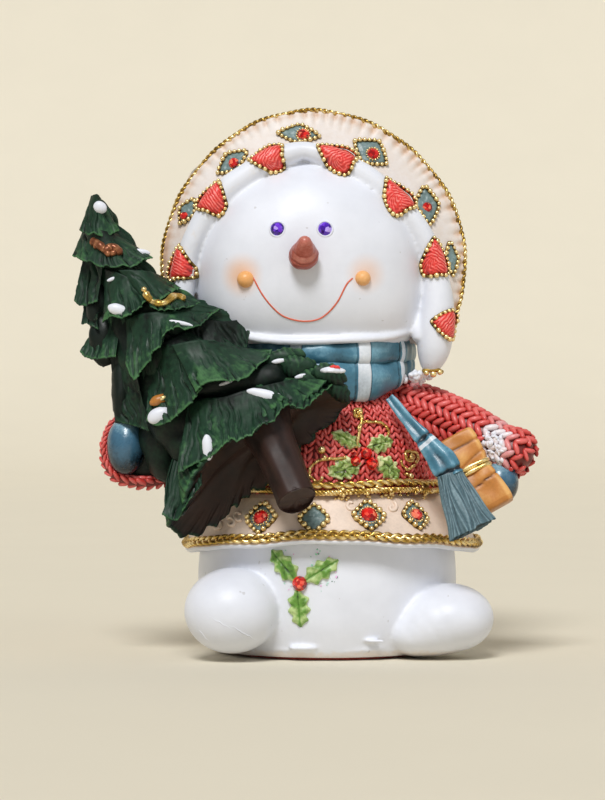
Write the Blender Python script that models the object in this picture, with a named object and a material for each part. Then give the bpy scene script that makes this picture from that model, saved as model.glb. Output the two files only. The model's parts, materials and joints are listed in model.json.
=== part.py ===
"""A painted resin snowman in a bonnet, scarf and jumper, holding a small fir tree and a parcel.

Every sculpted form is one closed solid. Lengths below are millimetres; +Z is up and the face looks along -Y.
"Left" is -X and "right" is +X, as seen from the front.
"""
import math

import bmesh
import bpy
from mathutils import Matrix, Vector
from mathutils.bvhtree import BVHTree

MM = 0.001
GAP = 0.3            # clearance between neighbouring solids
ROUND = 28           # corners around the large rounded forms

# Snow body and its felt
BODY_X = 5.4         # the snowman stands right of the middle, because the tree leans out on the left
FELT_THICKNESS = 0.9
FELT_HALF = (19.0, 17.0)
BASE_Z = FELT_THICKNESS + GAP
BODY_TOP = 25.2
BODY_PROFILE = ((BASE_Z, 21.0, 18.5), (3.0, 25.6, 22.6), (8.0, 27.6, 24.4), (14.0, 28.4, 25.0),
                (20.0, 28.4, 25.0), (BODY_TOP, 27.6, 24.3))
FOOT_LEFT = ((-14.3, -21.0, 10.7), (9.9, 9.9, 9.9))
FOOT_RIGHT = ((31.0, -15.0, 8.6), (9.4, 10.5, 7.9))

# Clothes on the body: (height, half width, half depth)
HEM_EDGE = (33.4, 29.0)
HEM_EDGE_Z = 26.2
HEM_DROOP = 2.8      # the hem hangs lower at the sides than in front
HEM_TOP_Z = 35.4
HEM_TOP = (24.4, 22.4)
HEM_CORD_RADIUS = 1.1
BELT_Z = 36.6
BELT_RADIUS = 1.1
JUMPER_PROFILE = ((HEM_TOP_Z + GAP, 23.9, 21.9), (43.0, 23.2, 21.4), (50.0, 21.2, 20.0), (55.5, 17.2, 17.0),
                  (60.0, 13.8, 13.8), (66.6, 11.6, 11.6))

# Head, bonnet and brim
HEAD_X = 1.5
HEAD_Z = 84.0
HEAD_BACK_Y = -3.0
HEAD_HALF_WIDTH = 23.5
HEAD_UP = 22.4
HEAD_DOWN = 22.0
HEAD_DEPTH = 20.5
CHIN_Z = 67.4
JOWL = 3.0           # squareness of the lower half of the face
BONNET_X = 2.1
BONNET_Z = 85.5
BONNET_RADIUS = 33.0
BONNET_RIM_Y = 0.4
BONNET_INNER = 25.6  # where the cap's front meets the roll
BONNET_INNER_Y = -6.0
BONNET_BACK_Y = 26.0
BONNET_CORD_RADIUS = 0.8
BRIM_Y = -9.5
BRIM_PATH = ((-24.6, 62.0, 3.0), (-27.2, 70.0, 3.2), (-27.0, 80.0, 3.2), (-24.8, 88.6, 3.0), (-21.6, 95.3, 2.8),
             (-15.8, 102.0, 2.5), (-8.0, 107.0, 2.3), (0.8, 108.8, 2.2), (9.3, 106.0, 2.5), (17.2, 100.8, 2.9),
             (23.2, 94.4, 3.1), (26.9, 88.0, 3.2), (28.6, 80.5, 3.3), (28.2, 71.0, 3.4), (26.4, 61.6, 2.9))

# Face
EYES = (("eye_left", -5.0, 90.2), ("eye_right", 4.7, 90.2))
EYE_RADIUS = 1.45
NOSE = (-0.1, 85.0)
NOSE_RADIUS = 2.9
NOSE_LENGTH = 8.0
CHEEKS = (("cheek_left", -11.8, 80.2, 1.8), ("cheek_right", 12.5, 80.2, 1.6))

# Raised ornaments: name, x, z, width, height, turn of the tip in degrees
HEARTS = ((-27.1, 85.2, 6.6, 8.0, 98), (-19.5, 99.2, 7.0, 7.2, 72), (-7.9, 107.6, 6.2, 7.4, 185),
          (7.2, 108.0, 6.6, 8.6, 152), (20.4, 99.6, 7.6, 8.4, 118), (28.8, 86.2, 6.2, 8.2, 95),
          (30.9, 71.8, 6.2, 6.4, 172))
BONNET_DIAMONDS = ((-25.4, 96.0, 4.0, 6.2, -35), (-15.0, 107.2, 4.6, 8.0, -55), (-1.2, 113.4, 5.2, 9.4, 75),
                   (15.2, 109.4, 6.4, 9.0, 38), (26.9, 98.2, 6.0, 9.6, -8), (32.0, 86.6, 3.2, 7.8, 4))
HEM_DIAMONDS = ((-8.7, 30.4, 7.0, 7.6, 0), (2.4, 30.4, 6.6, 7.0, 0), (14.0, 31.0, 7.2, 7.4, 0),
                (24.0, 30.8, 6.6, 7.2, 0))
ORNAMENT_THICKNESS = 0.9
HEART_LIFT = 0.8     # clears the curve of the roll between the heart's corners
HEART_FALL = 2.4     # how far a heart wraps back around the roll
STONES = (("bonnet_stone_1", -25.9, 95.6, 0.8), ("bonnet_stone_2", -14.6, 106.6, 0.8),
          ("bonnet_stone_3", 0.1, 112.6, 1.0), ("bonnet_stone_4", 14.8, 108.8, 0.9),
          ("bonnet_stone_5", 27.2, 97.4, 1.0), ("hem_stone_1", -8.8, 30.5, 1.5),
          ("hem_stone_2", 14.0, 31.1, 1.6), ("hem_stone_3", 24.2, 30.9, 1.3))

EYE_CUT = ((0.9, 0.0), (1.0, 0.25), (0.55, 0.75))      # (share of the radius, height in radii)
STONE_CUT = ((1.0, 0.0), (0.55, 0.7))

# Scarf
SCARF_X = 4.4
SCARF_PROFILE = ((56.4, 0.2), (56.0, 1.4), (58.6, 2.4), (61.8, 2.0), (63.0, 1.0), (64.6, 2.0), (66.2, 1.6),
                 (67.0, 0.0), (67.0, -5.0), (60.6, -3.1))
SCARF_RADIUS = 18.4
STRAP_PATH = ((18.6, -17.2, 55.6, 1.5), (21.2, -18.6, 51.4, 1.6), (24.4, -20.2, 47.0, 2.2),
              (27.6, -21.6, 42.6, 3.3), (30.2, -22.8, 38.6, 4.1))
TASSEL_PATH = ((30.6, -23.0, 38.0, 2.9), (31.6, -24.6, 34.4, 3.9), (33.2, -26.2, 30.4, 4.8),
               (35.0, -27.4, 26.6, 5.6))
STRAP_THICKNESS = 1.5

# Arms
SLEEVE_RIGHT = ((19.5, -2.0, 55.5, 4.6), (25.5, -4.2, 53.6, 5.0), (33.0, -8.0, 50.2, 5.4),
                (40.6, -11.6, 46.4, 4.9))
CUFF_RIGHT = ((41.4, -11.9, 46.0, 4.4), (44.0, -13.0, 44.8, 5.4), (47.0, -14.2, 43.4, 5.0),
              (49.2, -15.1, 42.2, 2.4))
MITTEN_RIGHT = ((43.6, -15.6, 37.6), (4.0, 4.2, 4.8))
SLEEVE_LEFT = ((-17.0, 0.0, 56.0, 5.2), (-24.0, -2.0, 53.0, 5.8), (-31.0, -6.0, 48.6, 6.0),
               (-34.4, -9.0, 45.6, 5.6))
CUFF_LEFT = ((-35.2, -12.6, 44.2), 7.3, 1.6)
CUFF_LEFT_AXIS = (-0.15, -0.97, -0.2)
MITTEN_LEFT = ((-35.6, -14.6, 44.8), (4.9, 4.6, 5.6))

# Parcel: an upright block nipped in by its ribbon
PARCEL_FOOT = (42.2, -21.6, 32.4)
PARCEL_TOP = (33.6, -18.4, 47.8)
PARCEL_SECTIONS = ((0.0, 4.0, 2.4), (0.06, 5.6, 3.2), (0.30, 5.2, 3.4), (0.42, 3.9, 2.9), (0.52, 5.0, 3.3),
                   (0.80, 4.6, 3.1), (1.0, 0.9, 0.9))
RIBBON_AT = 0.42

# Fir tree: one entry a tier, from the top (x, z of the skirt's middle, radius, lean in degrees)
TREE_TIP = (-44.6, 99.4)
TREE_TIERS = ((-43.9, 92.6, 4.4, 2.0), (-41.0, 86.4, 8.6, 4.0), (-37.6, 79.0, 11.6, 6.0),
              (-33.6, 72.6, 14.4, 10.0), (-28.8, 66.6, 17.2, 14.0), (-20.4, 57.0, 18.8, 25.0),
              (-9.0, 43.2, 21.8, 36.0))
TREE_DEPTH = 0.60    # the tree is flatter from front to back than it is wide
TREE_TIP_Y = -11.0
TREE_FOOT_Y = -27.0
TREE_CORNERS = 22
TREE_FOLDS = 7
TRUNK_PATH = ((-5.4, -29.5, 48.0, 4.2), (-4.0, -31.0, 44.6, 4.1), (-1.9, -33.5, 38.8, 4.2), (0.4, -36.2, 32.8, 4.4))

# Raised sprigs: leaves as (x, z, length, width, turn in degrees)
CHEST_LEAVES = ((9.0, 47.2, 6.6, 3.0, 150), (16.4, 46.8, 6.0, 2.8, 20), (9.2, 41.6, 6.4, 3.0, 200),
                (17.8, 41.6, 5.0, 3.0, -40))
BELLY_LEAVES = ((-3.7, 20.4, 7.6, 3.8, 130), (4.2, 19.7, 7.4, 3.4, 32), (-0.7, 10.9, 7.0, 3.4, -88))


# ---------------------------------------------------------------- building blocks
def material(name, colour, roughness, metallic=0.0):
    """A plain painted or metallic finish."""
    made = bpy.data.materials.get(name) or bpy.data.materials.new(name)
    made.use_nodes = True
    shader = made.node_tree.nodes["Principled BSDF"]
    shader.inputs["Base Color"].default_value = (*colour, 1.0)
    shader.inputs["Roughness"].default_value = roughness
    shader.inputs["Metallic"].default_value = metallic
    made.diffuse_color = (*colour, 1.0)
    return made


def largest_piece(bm):
    """Keep only the largest connected piece of a mesh."""
    unseen = set(bm.faces)
    pieces = []
    while unseen:
        front = [unseen.pop()]
        piece = list(front)
        while front:
            for edge in front.pop().edges:
                for face in edge.link_faces:
                    if face in unseen:
                        unseen.remove(face)
                        front.append(face)
                        piece.append(face)
        pieces.append(piece)
    pieces.sort(key=lambda p: sum(f.calc_area() for f in p))
    for piece in pieces[:-1]:
        bmesh.ops.delete(bm, geom=piece, context="FACES")


def clean(obj):
    """Merge coincident corners, drop crumbs and make every face a triangle facing outward."""
    bm = bmesh.new()
    bm.from_mesh(obj.data)
    bmesh.ops.remove_doubles(bm, verts=bm.verts, dist=0.02 * MM)
    bmesh.ops.dissolve_degenerate(bm, edges=bm.edges, dist=0.01 * MM)
    bmesh.ops.triangulate(bm, faces=bm.faces)
    largest_piece(bm)
    loose = [v for v in bm.verts if not v.link_faces]
    bmesh.ops.delete(bm, geom=loose, context="VERTS")
    bmesh.ops.recalc_face_normals(bm, faces=bm.faces)
    bm.to_mesh(obj.data)
    bm.free()


def solid(name, points, faces, finish):
    """A mesh object from points in millimetres."""
    mesh = bpy.data.meshes.new(name)
    mesh.from_pydata([Vector(p) * MM for p in points], [], faces)
    mesh.materials.append(finish)
    obj = bpy.data.objects.new(name, mesh)
    bpy.context.collection.objects.link(obj)
    clean(obj)
    return obj


def loft(name, rings, finish, closed=False):
    """A skin over equal rings; the ends are capped, or joined to each other when closed."""
    count = len(rings[0])
    points = [p for ring in rings for p in ring]
    faces = []
    spans = len(rings) if closed else len(rings) - 1
    for i in range(spans):
        a = i * count
        b = (i + 1) % len(rings) * count
        for j in range(count):
            k = (j + 1) % count
            faces.append((a + j, a + k, b + k, b + j))
    if not closed:
        faces.append(tuple(range(count)))
        faces.append(tuple(range(len(points) - count, len(points))))
    return solid(name, points, faces, finish)


def stack(name, profile, centre, finish, corners=ROUND):
    """Ellipses stacked upward: (height, half width, half depth)."""
    rings = []
    for z, half_width, half_depth in profile:
        ring = []
        for i in range(corners):
            angle = math.tau * i / corners
            ring.append((centre[0] + half_width * math.cos(angle), centre[1] + half_depth * math.sin(angle), z))
        rings.append(ring)
    return loft(name, rings, finish)


def tube(name, path, finish, corners=10, thin=None, closed=False):
    """A tube through (x, y, z, radius), flattened from front to back where thin gives that half size."""
    rings = []
    total = len(path)
    for i, (x, y, z, radius) in enumerate(path):
        before = path[(i - 1) % total] if closed else path[max(i - 1, 0)]
        after = path[(i + 1) % total] if closed else path[min(i + 1, total - 1)]
        along = (Vector(after[:3]) - Vector(before[:3])).normalized()
        side = along.cross(Vector((0, 0, 1) if closed else (0, 1, 0))).normalized()
        front = side.cross(along)
        depth = thin if thin else radius
        ring = []
        for j in range(corners):
            angle = math.tau * j / corners
            ring.append(Vector((x, y, z)) + side * radius * math.cos(angle) + front * depth * math.sin(angle))
        rings.append(ring)
    return loft(name, rings, finish, closed)


def ball(name, centre, radii, finish, corners=12, rows=6):
    """An ellipsoid with a small flat at each pole."""
    rings = []
    for i in range(rows + 1):
        polar = math.pi * (i + 0.35) / (rows + 0.7)
        ring = []
        for j in range(corners):
            angle = math.tau * j / corners
            ring.append((centre[0] + radii[0] * math.sin(polar) * math.cos(angle),
                         centre[1] + radii[1] * math.sin(polar) * math.sin(angle),
                         centre[2] + radii[2] * math.cos(polar)))
        rings.append(ring)
    return loft(name, rings, finish)


def apply_boolean(target, tool, operation):
    """Cut or join with an exact Boolean and remove the tool."""
    modifier = target.modifiers.new("combine", "BOOLEAN")
    modifier.operation = operation
    modifier.solver = "EXACT"
    modifier.object = tool
    depsgraph = bpy.context.evaluated_depsgraph_get()
    mesh = bpy.data.meshes.new_from_object(target.evaluated_get(depsgraph))
    target.modifiers.clear()
    target.data = mesh
    bpy.data.objects.remove(tool, do_unlink=True)
    clean(target)


def grown(obj, by=GAP):
    """A copy whose skin stands out by the clearance."""
    copy = obj.copy()
    copy.data = obj.data.copy()
    bpy.context.collection.objects.link(copy)
    bm = bmesh.new()
    bm.from_mesh(copy.data)
    bm.normal_update()
    moves = []
    for vert in bm.verts:
        sharpness = vert.calc_shell_factor()
        moves.append(vert.co + vert.normal * by * MM * min(sharpness, 1.8))
    for vert, place in zip(bm.verts, moves):
        vert.co = place
    bm.to_mesh(copy.data)
    bm.free()
    return copy


def carve(target, *neighbours, by=GAP):
    """Cut a solid back so that it clears its neighbours."""
    for neighbour in neighbours:
        apply_boolean(target, grown(neighbour, by), "DIFFERENCE")


def front_surface(*objects):
    """A search tree over the skins that a raised ornament lies on."""
    points = []
    faces = []
    for obj in objects:
        start = len(points)
        points.extend(v.co / MM for v in obj.data.vertices)
        faces.extend(tuple(start + i for i in p.vertices) for p in obj.data.polygons)
    return BVHTree.FromPolygons(points, faces)


def touch(surface, x, z):
    """Where a line from the front first meets a surface, and which way the surface faces there."""
    place, normal, _, _ = surface.ray_cast(Vector((x, -90.0, z)), Vector((0, 1, 0)))
    if place is None:
        raise ValueError(f"nothing lies behind x {x}, z {z}")
    return place, normal


def draped(name, outline, thickness, x, z, surface, finish, lift=GAP + 0.15, loops=(1.0, 0.0), fall=1.0):
    """A plate that follows the surface below it, but falls no further than asked; one loop of corners per scale."""
    middle, normal = touch(surface, x, z)
    normal = (normal + Vector((0, -0.6, 0))).normalized()
    across = normal.cross(Vector((0, 0, 1))).normalized() * -1
    up = across.cross(normal) * -1
    low = []
    for scale in loops:
        for u, v in outline if scale else outline[:1]:
            flat_place = middle + across * u * scale + up * v * scale
            hit = surface.ray_cast(flat_place + normal * 12, -normal, 24)[0]
            height = (hit - flat_place).dot(normal) if hit else -fall
            low.append(flat_place + normal * (max(height, -fall) + lift))
    count = len(outline)
    inner = count * (len(loops) - 2)
    points = low + [p + normal * thickness * (0.7 if i < count else 1.0) for i, p in enumerate(low)]
    faces = []
    for i in range(count):
        j = (i + 1) % count
        faces.append((i, j, len(low) + j, len(low) + i))
        for base in (0, len(low)):
            if inner:
                faces.append((base + i, base + j, base + count + j, base + count + i))
            faces.append((base + inner + i, base + inner + j, base + inner + count))
    return solid(name, points, faces, finish)


def turned(outline, degrees):
    """An outline turned counterclockwise."""
    c = math.cos(math.radians(degrees))
    s = math.sin(math.radians(degrees))
    return [(u * c - v * s, u * s + v * c) for u, v in outline]


def heart_outline(width, height):
    """A heart whose tip points along +U."""
    shape = ((0.5, 0.0), (0.2, 0.3), (-0.15, 0.47), (-0.42, 0.42), (-0.5, 0.2), (-0.4, 0.0), (-0.5, -0.2),
             (-0.42, -0.42), (-0.15, -0.47), (0.2, -0.3))
    return [(u * height, v * width) for u, v in shape]


def diamond_outline(width, height):
    """A lozenge with blunt corners, tall along +V."""
    shape = ((0.5, 0.08), (0.25, 0.3), (0.0, 0.5), (-0.25, 0.3), (-0.5, 0.08), (-0.5, -0.08), (-0.25, -0.3),
             (0.0, -0.5), (0.25, -0.3), (0.5, -0.08))
    return [(u * width, v * height) for u, v in shape]


def leaf_outline(length, width):
    """A holly leaf along +U with a wavy edge."""
    shape = ((0.5, 0.0), (0.28, 0.28), (0.1, 0.26), (-0.08, 0.5), (-0.26, 0.24), (-0.5, 0.0), (-0.26, -0.24),
             (-0.08, -0.5), (0.1, -0.26), (0.28, -0.28))
    return [(u * length, v * width) for u, v in shape]


def stone(name, x, z, radius, surface, finish, corners, layers):
    """A flat-backed faceted stone glued to a surface."""
    place, normal = touch(surface, x, z)
    normal = (normal + Vector((0, -0.4, 0))).normalized()
    turn = normal.to_track_quat("Z", "Y").to_matrix()
    rings = []
    for scale, height in layers:
        ring = []
        for i in range(corners):
            angle = math.tau * i / corners
            flat = Vector((radius * scale * math.cos(angle), radius * scale * math.sin(angle), radius * height))
            ring.append(place + normal * (GAP + 0.2) + turn @ flat)
        rings.append(ring)
    return loft(name, rings, finish)


# ---------------------------------------------------------------- sub-parts
def make_base(paint):
    """Felt, and the snow body with its two ball feet in one solid."""
    felt = stack("felt_pad", ((0.0, *FELT_HALF), (FELT_THICKNESS, *FELT_HALF)), (BODY_X, -3.0), paint["felt"])
    body = stack("snow_body", BODY_PROFILE, (BODY_X, 0.0), paint["snow"])
    for place, radii in (FOOT_LEFT, FOOT_RIGHT):
        apply_boolean(body, ball("foot", place, radii, paint["snow"], 16, 8), "UNION")
    return felt, body


def hem_ring(scale, lift, corners=ROUND):
    """The flared hem's edge, drooping toward the sides."""
    ring = []
    for i in range(corners):
        angle = math.tau * i / corners
        droop = HEM_DROOP * math.cos(angle) ** 2
        ring.append((BODY_X + HEM_EDGE[0] * scale * math.cos(angle), HEM_EDGE[1] * scale * math.sin(angle),
                     HEM_EDGE_Z - droop + lift))
    return ring


def level_ring(z, half_width, half_depth, corners=ROUND):
    """A level ellipse around the body's axis."""
    return [(BODY_X + half_width * math.cos(math.tau * i / corners),
             half_depth * math.sin(math.tau * i / corners), z) for i in range(corners)]


def make_jumper(paint):
    """The knitted chest, the cream hem below it and the two gold cords."""
    hem = loft("hem_band", [level_ring(BODY_TOP + GAP, 20.0, 18.0), level_ring(BODY_TOP + GAP, 28.4, 25.1),
                            hem_ring(0.965, -0.6), hem_ring(1.0, 0.3), level_ring(30.6, 28.9, 25.4),
                            level_ring(HEM_TOP_Z, *HEM_TOP)], paint["cream"])
    jumper = stack("jumper", JUMPER_PROFILE, (BODY_X, 0.0), paint["knit"])
    hem_path = [(*p, HEM_CORD_RADIUS) for p in hem_ring(1.0 + (HEM_CORD_RADIUS + 0.6) / HEM_EDGE[1], 0.2, 36)]
    hem_cord = tube("hem_cord", hem_path, paint["gold"], 5, closed=True)
    reach = GAP + BELT_RADIUS + 0.5
    belt_path = [(*p, BELT_RADIUS) for p in level_ring(BELT_Z, HEM_TOP[0] + reach, HEM_TOP[1] + reach, 32)]
    belt = tube("belt_trim", belt_path, paint["gold"], 5, closed=True)
    carve(hem_cord, hem)
    carve(belt, hem, jumper)
    return hem, jumper, hem_cord, belt


def head_ring(angle_from_front):
    """One outline of the head: wide at the back, a point at the front."""
    ring = []
    shrink = math.cos(angle_from_front)
    y = HEAD_BACK_Y - HEAD_DEPTH * math.sin(angle_from_front)
    for i in range(ROUND):
        angle = math.tau * i / ROUND
        c = math.cos(angle)
        s = math.sin(angle)
        power = 2.0 if s > 0 else JOWL
        reach = (abs(c) ** power + abs(s) ** power) ** (-1.0 / power)
        tall = HEAD_UP if s > 0 else HEAD_DOWN
        ring.append((HEAD_X + HEAD_HALF_WIDTH * shrink * reach * c, y, HEAD_Z + tall * shrink * reach * s))
    return ring


def cut_below(obj, z):
    """Slice a solid off flat below a height."""
    bm = bmesh.new()
    bm.from_mesh(obj.data)
    cut = bmesh.ops.bisect_plane(bm, geom=bm.verts[:] + bm.edges[:] + bm.faces[:], plane_co=(0, 0, z * MM),
                                 plane_no=(0, 0, -1), clear_outer=True)
    rim = [e for e in cut["geom_cut"] if isinstance(e, bmesh.types.BMEdge)]
    bmesh.ops.edgeloop_fill(bm, edges=rim)
    bm.to_mesh(obj.data)
    bm.free()
    clean(obj)


def make_head(paint):
    """The face, cut flat behind where the bonnet begins and below where the scarf begins."""
    steps = (0.0, 0.25, 0.5, 0.75, 1.0, 1.25, 1.5)
    head = loft("head", [head_ring(a) for a in steps], paint["snow"])
    cut_below(head, CHIN_Z)
    return head


def bonnet_ring(radius, y):
    """A ring of the bonnet."""
    return [(BONNET_X + radius * math.cos(math.tau * i / ROUND), y,
             BONNET_Z + radius * math.sin(math.tau * i / ROUND)) for i in range(ROUND)]


def make_bonnet(paint):
    """The cap behind the face, the roll around the face and the twisted cord on the cap's edge."""
    rings = [bonnet_ring(BONNET_INNER - 1.0, HEAD_BACK_Y + GAP), bonnet_ring(BONNET_INNER, BONNET_INNER_Y),
             bonnet_ring(BONNET_RADIUS - 0.9, BONNET_RIM_Y - 0.8),
             bonnet_ring(BONNET_RADIUS - 0.4, BONNET_RIM_Y + 0.6)]
    for a in (0.15, 0.5, 0.85, 1.15, 1.42):
        y = BONNET_RIM_Y + 2.0 + (BONNET_BACK_Y - BONNET_RIM_Y - 2.0) * math.sin(a)
        rings.append(bonnet_ring(BONNET_RADIUS * math.cos(a) ** 0.75, y))
    bonnet = loft("bonnet", rings, paint["cap"])
    cut_below(bonnet, CHIN_Z)
    brim = tube("bonnet_brim", [(x, BRIM_Y, z, r) for x, z, r in BRIM_PATH], paint["snow"], 9)
    reach = BONNET_RADIUS + BONNET_CORD_RADIUS + 0.1
    cord_path = []
    for i in range(40):
        angle = math.radians(-34) + math.radians(248) * i / 39
        cord_path.append((BONNET_X + reach * math.cos(angle), BONNET_RIM_Y - 0.6,
                          BONNET_Z + reach * math.sin(angle), BONNET_CORD_RADIUS))
    cord = tube("bonnet_cord", cord_path, paint["gold"], 5)
    return bonnet, brim, cord


def make_face(paint, head):
    """Carrot nose, round cheeks and the two eye stones."""
    surface = front_surface(head)
    place, _ = touch(surface, *NOSE)
    tilt = Vector((0.0, -0.86, 0.5)).normalized()
    side = Vector((1, 0, 0))
    up = side.cross(tilt) * -1
    rings = []
    for along, radius in ((0.0, 0.9), (0.12, 1.0), (0.35, 0.9), (0.65, 0.62), (0.88, 0.4), (1.0, 0.18)):
        centre = place + Vector((0, -GAP - 1.3, -0.8)) + tilt * NOSE_LENGTH * along
        ring = []
        for i in range(12):
            angle = math.tau * i / 12
            ring.append(centre + (side * math.cos(angle) + up * math.sin(angle)) * NOSE_RADIUS * radius)
        rings.append(ring)
    nose = loft("nose", rings, paint["carrot"])
    carve(nose, head)
    parts = [nose]
    for name, x, z, radius in CHEEKS:
        place, _ = touch(surface, x, z)
        cheek = ball(name, place, (radius, radius, radius), paint["peach"], 10, 5)
        carve(cheek, head)
        parts.append(cheek)
    for name, x, z in EYES:
        parts.append(stone(name, x, z, EYE_RADIUS, surface, paint["violet"], 10, EYE_CUT))
    return parts


def make_ornaments(paint, skins, hem, body):
    """Hearts, diamonds and glued stones."""
    surface = front_surface(*skins)
    hearts = []
    for i, (x, z, width, height, turn) in enumerate(HEARTS):
        outline = turned(heart_outline(width, height), turn)
        heart = draped(f"heart_{i + 1}", outline, ORNAMENT_THICKNESS, x, z, surface, paint["coral"],
                       HEART_LIFT, (1.0, 0.5, 0.0), HEART_FALL)
        carve(heart, *skins)
        hearts.append(heart)
    diamonds = []
    for i, (x, z, width, height, turn) in enumerate(BONNET_DIAMONDS):
        outline = turned(diamond_outline(width, height), turn)
        diamond = draped(f"bonnet_diamond_{i + 1}", outline, ORNAMENT_THICKNESS, x, z, surface, paint["blue"])
        carve(diamond, *skins, *hearts)
        diamonds.append(diamond)
    skirt = front_surface(hem)
    for i, (x, z, width, height, turn) in enumerate(HEM_DIAMONDS):
        outline = turned(diamond_outline(width, height), turn)
        diamonds.append(draped(f"hem_diamond_{i + 1}", outline, ORNAMENT_THICKNESS, x, z, skirt, paint["blue"]))
    plates = front_surface(*diamonds)
    stones = [stone(name, x, z, radius, plates, paint["ruby"], 6, STONE_CUT) for name, x, z, radius in STONES]
    return hearts, diamonds, stones


def make_scarf(paint, neighbours):
    """The scarf around the neck, its hanging strap and the tassel."""
    rings = []
    for i in range(ROUND):
        angle = math.tau * i / ROUND
        ring = []
        for z, out in SCARF_PROFILE:
            reach = SCARF_RADIUS + out
            ring.append((SCARF_X + reach * math.cos(angle), reach * math.sin(angle), z))
        rings.append(ring)
    scarf = loft("scarf_wrap", rings, paint["teal"], closed=True)
    carve(scarf, *neighbours)
    strap = tube("scarf_strap", STRAP_PATH, paint["teal"], 8, thin=STRAP_THICKNESS)
    tassel = tube("scarf_tassel", TASSEL_PATH, paint["teal"], 12, thin=2.4)
    return scarf, strap, tassel


def make_arms(paint, jumper):
    """Sleeves, plaited cuffs and mittens."""
    sleeve_right = tube("sleeve_right", SLEEVE_RIGHT, paint["knit"], 12)
    carve(sleeve_right, jumper)
    cuff_right = tube("cuff_right", CUFF_RIGHT, paint["knit"], 12)
    carve(cuff_right, sleeve_right)
    mitten_right = ball("mitten_right", *MITTEN_RIGHT, paint["mitten"])
    carve(mitten_right, cuff_right, sleeve_right)
    sleeve_left = tube("sleeve_left", SLEEVE_LEFT, paint["knit"], 12)
    carve(sleeve_left, jumper)
    centre, radius, thick = CUFF_LEFT
    axis = Vector(CUFF_LEFT_AXIS).normalized()
    turn = axis.to_track_quat("Z", "Y").to_matrix()
    rings = []
    for i in range(16):
        angle = math.tau * i / 16
        out = turn @ Vector((math.cos(angle), math.sin(angle), 0))
        ring = []
        for j in range(6):
            around = math.tau * j / 6
            ring.append(Vector(centre) + out * (radius + thick * math.cos(around)) + axis * thick * math.sin(around))
        rings.append(ring)
    cuff_left = loft("cuff_left", rings, paint["knit"], closed=True)
    mitten_left = ball("mitten_left", *MITTEN_LEFT, paint["mitten"])
    carve(mitten_left, cuff_left, sleeve_left)
    carve(sleeve_left, cuff_left)
    return sleeve_right, cuff_right, mitten_right, sleeve_left, cuff_left, mitten_left


def make_parcel(paint, neighbours):
    """The wrapped parcel, nipped in at its double ribbon."""
    foot = Vector(PARCEL_FOOT)
    top = Vector(PARCEL_TOP)
    along = (top - foot).normalized()
    side = along.cross(Vector((0, 1, 0))).normalized()
    front = side.cross(along)
    corner = ((1, 0.55), (0.55, 1), (-0.55, 1), (-1, 0.55), (-1, -0.55), (-0.55, -1), (0.55, -1), (1, -0.55))
    rings = []
    for at, half_width, half_depth in PARCEL_SECTIONS:
        centre = foot.lerp(top, at)
        rings.append([centre + side * half_width * u + front * half_depth * v for u, v in corner])
    parcel = loft("parcel", rings, paint["wrap"])
    carve(parcel, *neighbours)
    centre = foot.lerp(top, RIBBON_AT)
    ribbon_rings = []
    for u, v in corner:
        out = side * u * 4.6 + front * v * 3.7
        edge = out.normalized()
        ribbon_rings.append([centre + out + along * 0.9, centre + out + edge * 0.8 + along * 0.5,
                             centre + out + edge * 0.8 - along * 0.5, centre + out - along * 0.9])
    ribbon = loft("parcel_ribbon", ribbon_rings, paint["gold"], closed=True)
    carve(ribbon, parcel, *neighbours)
    return parcel, ribbon


def tree_ring(centre, radius, lean, drop, folds, shift):
    """One ring of the tree: an ellipse across its own axis, with its folds drooping."""
    axis = Vector((math.sin(math.radians(lean)), 0, -math.cos(math.radians(lean))))
    side = Vector((math.cos(math.radians(lean)), 0, math.sin(math.radians(lean))))
    ring = []
    for i in range(TREE_CORNERS):
        angle = math.tau * i / TREE_CORNERS
        wave = math.cos(TREE_FOLDS * angle + shift)
        reach = radius * (1.0 + folds * wave)
        place = centre + side * reach * math.cos(angle) + Vector((0, reach * TREE_DEPTH * math.sin(angle), 0))
        ring.append(place + axis * drop * (1.0 + 0.5 * wave))
    return ring


def make_tree(paint):
    """The fir as one solid of overlapping skirts, and its trunk."""
    span = TREE_TIP[1] - TREE_TIERS[-1][1]
    rings = [tree_ring(Vector((TREE_TIP[0], TREE_TIP_Y, TREE_TIP[1])), 0.5, 0.0, 0.0, 0.0, 0.0)]
    for i, (x, z, radius, lean) in enumerate(TREE_TIERS):
        down = (TREE_TIP[1] - z) / span
        y = TREE_TIP_Y + (TREE_FOOT_Y - TREE_TIP_Y) * down
        centre = Vector((x, y, z))
        shift = 1.3 * i
        rings.append(tree_ring(centre, radius * 0.97, lean, -1.1, 0.08, shift))
        rings.append(tree_ring(centre, radius, lean, 0.6, 0.10, shift))
        rings.append(tree_ring(centre, radius * 0.62, lean, 0.2, 0.03, shift))
    tree = loft("tree", rings, paint["fir"])
    trunk = tube("tree_trunk", TRUNK_PATH, paint["bark"], 12)
    return tree, trunk


def make_sprigs(paint, jumper, body):
    """Holly on the chest and on the belly, each leaf fused with its neighbours at the middle."""
    for name, leaves, skin, heart in (("chest_holly", CHEST_LEAVES, jumper, (13.4, 44.4)),
                                      ("belly_holly", BELLY_LEAVES, body, (-0.5, 16.2))):
        surface = front_surface(skin)
        disc = [(2.4 * math.cos(math.tau * i / 10), 2.4 * math.sin(math.tau * i / 10)) for i in range(10)]
        sprig = draped(name, disc, 1.1, *heart, surface, paint["holly"])
        for x, z, length, width, turn in leaves:
            reach_x = (x - heart[0]) * 0.5
            reach_z = (z - heart[1]) * 0.5
            outline = turned(leaf_outline(length * 1.35, width), turn)
            leaf = draped("leaf", outline, 0.9, x - reach_x * 0.25, z - reach_z * 0.25, surface, paint["holly"])
            apply_boolean(sprig, leaf, "UNION")
    return None


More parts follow.
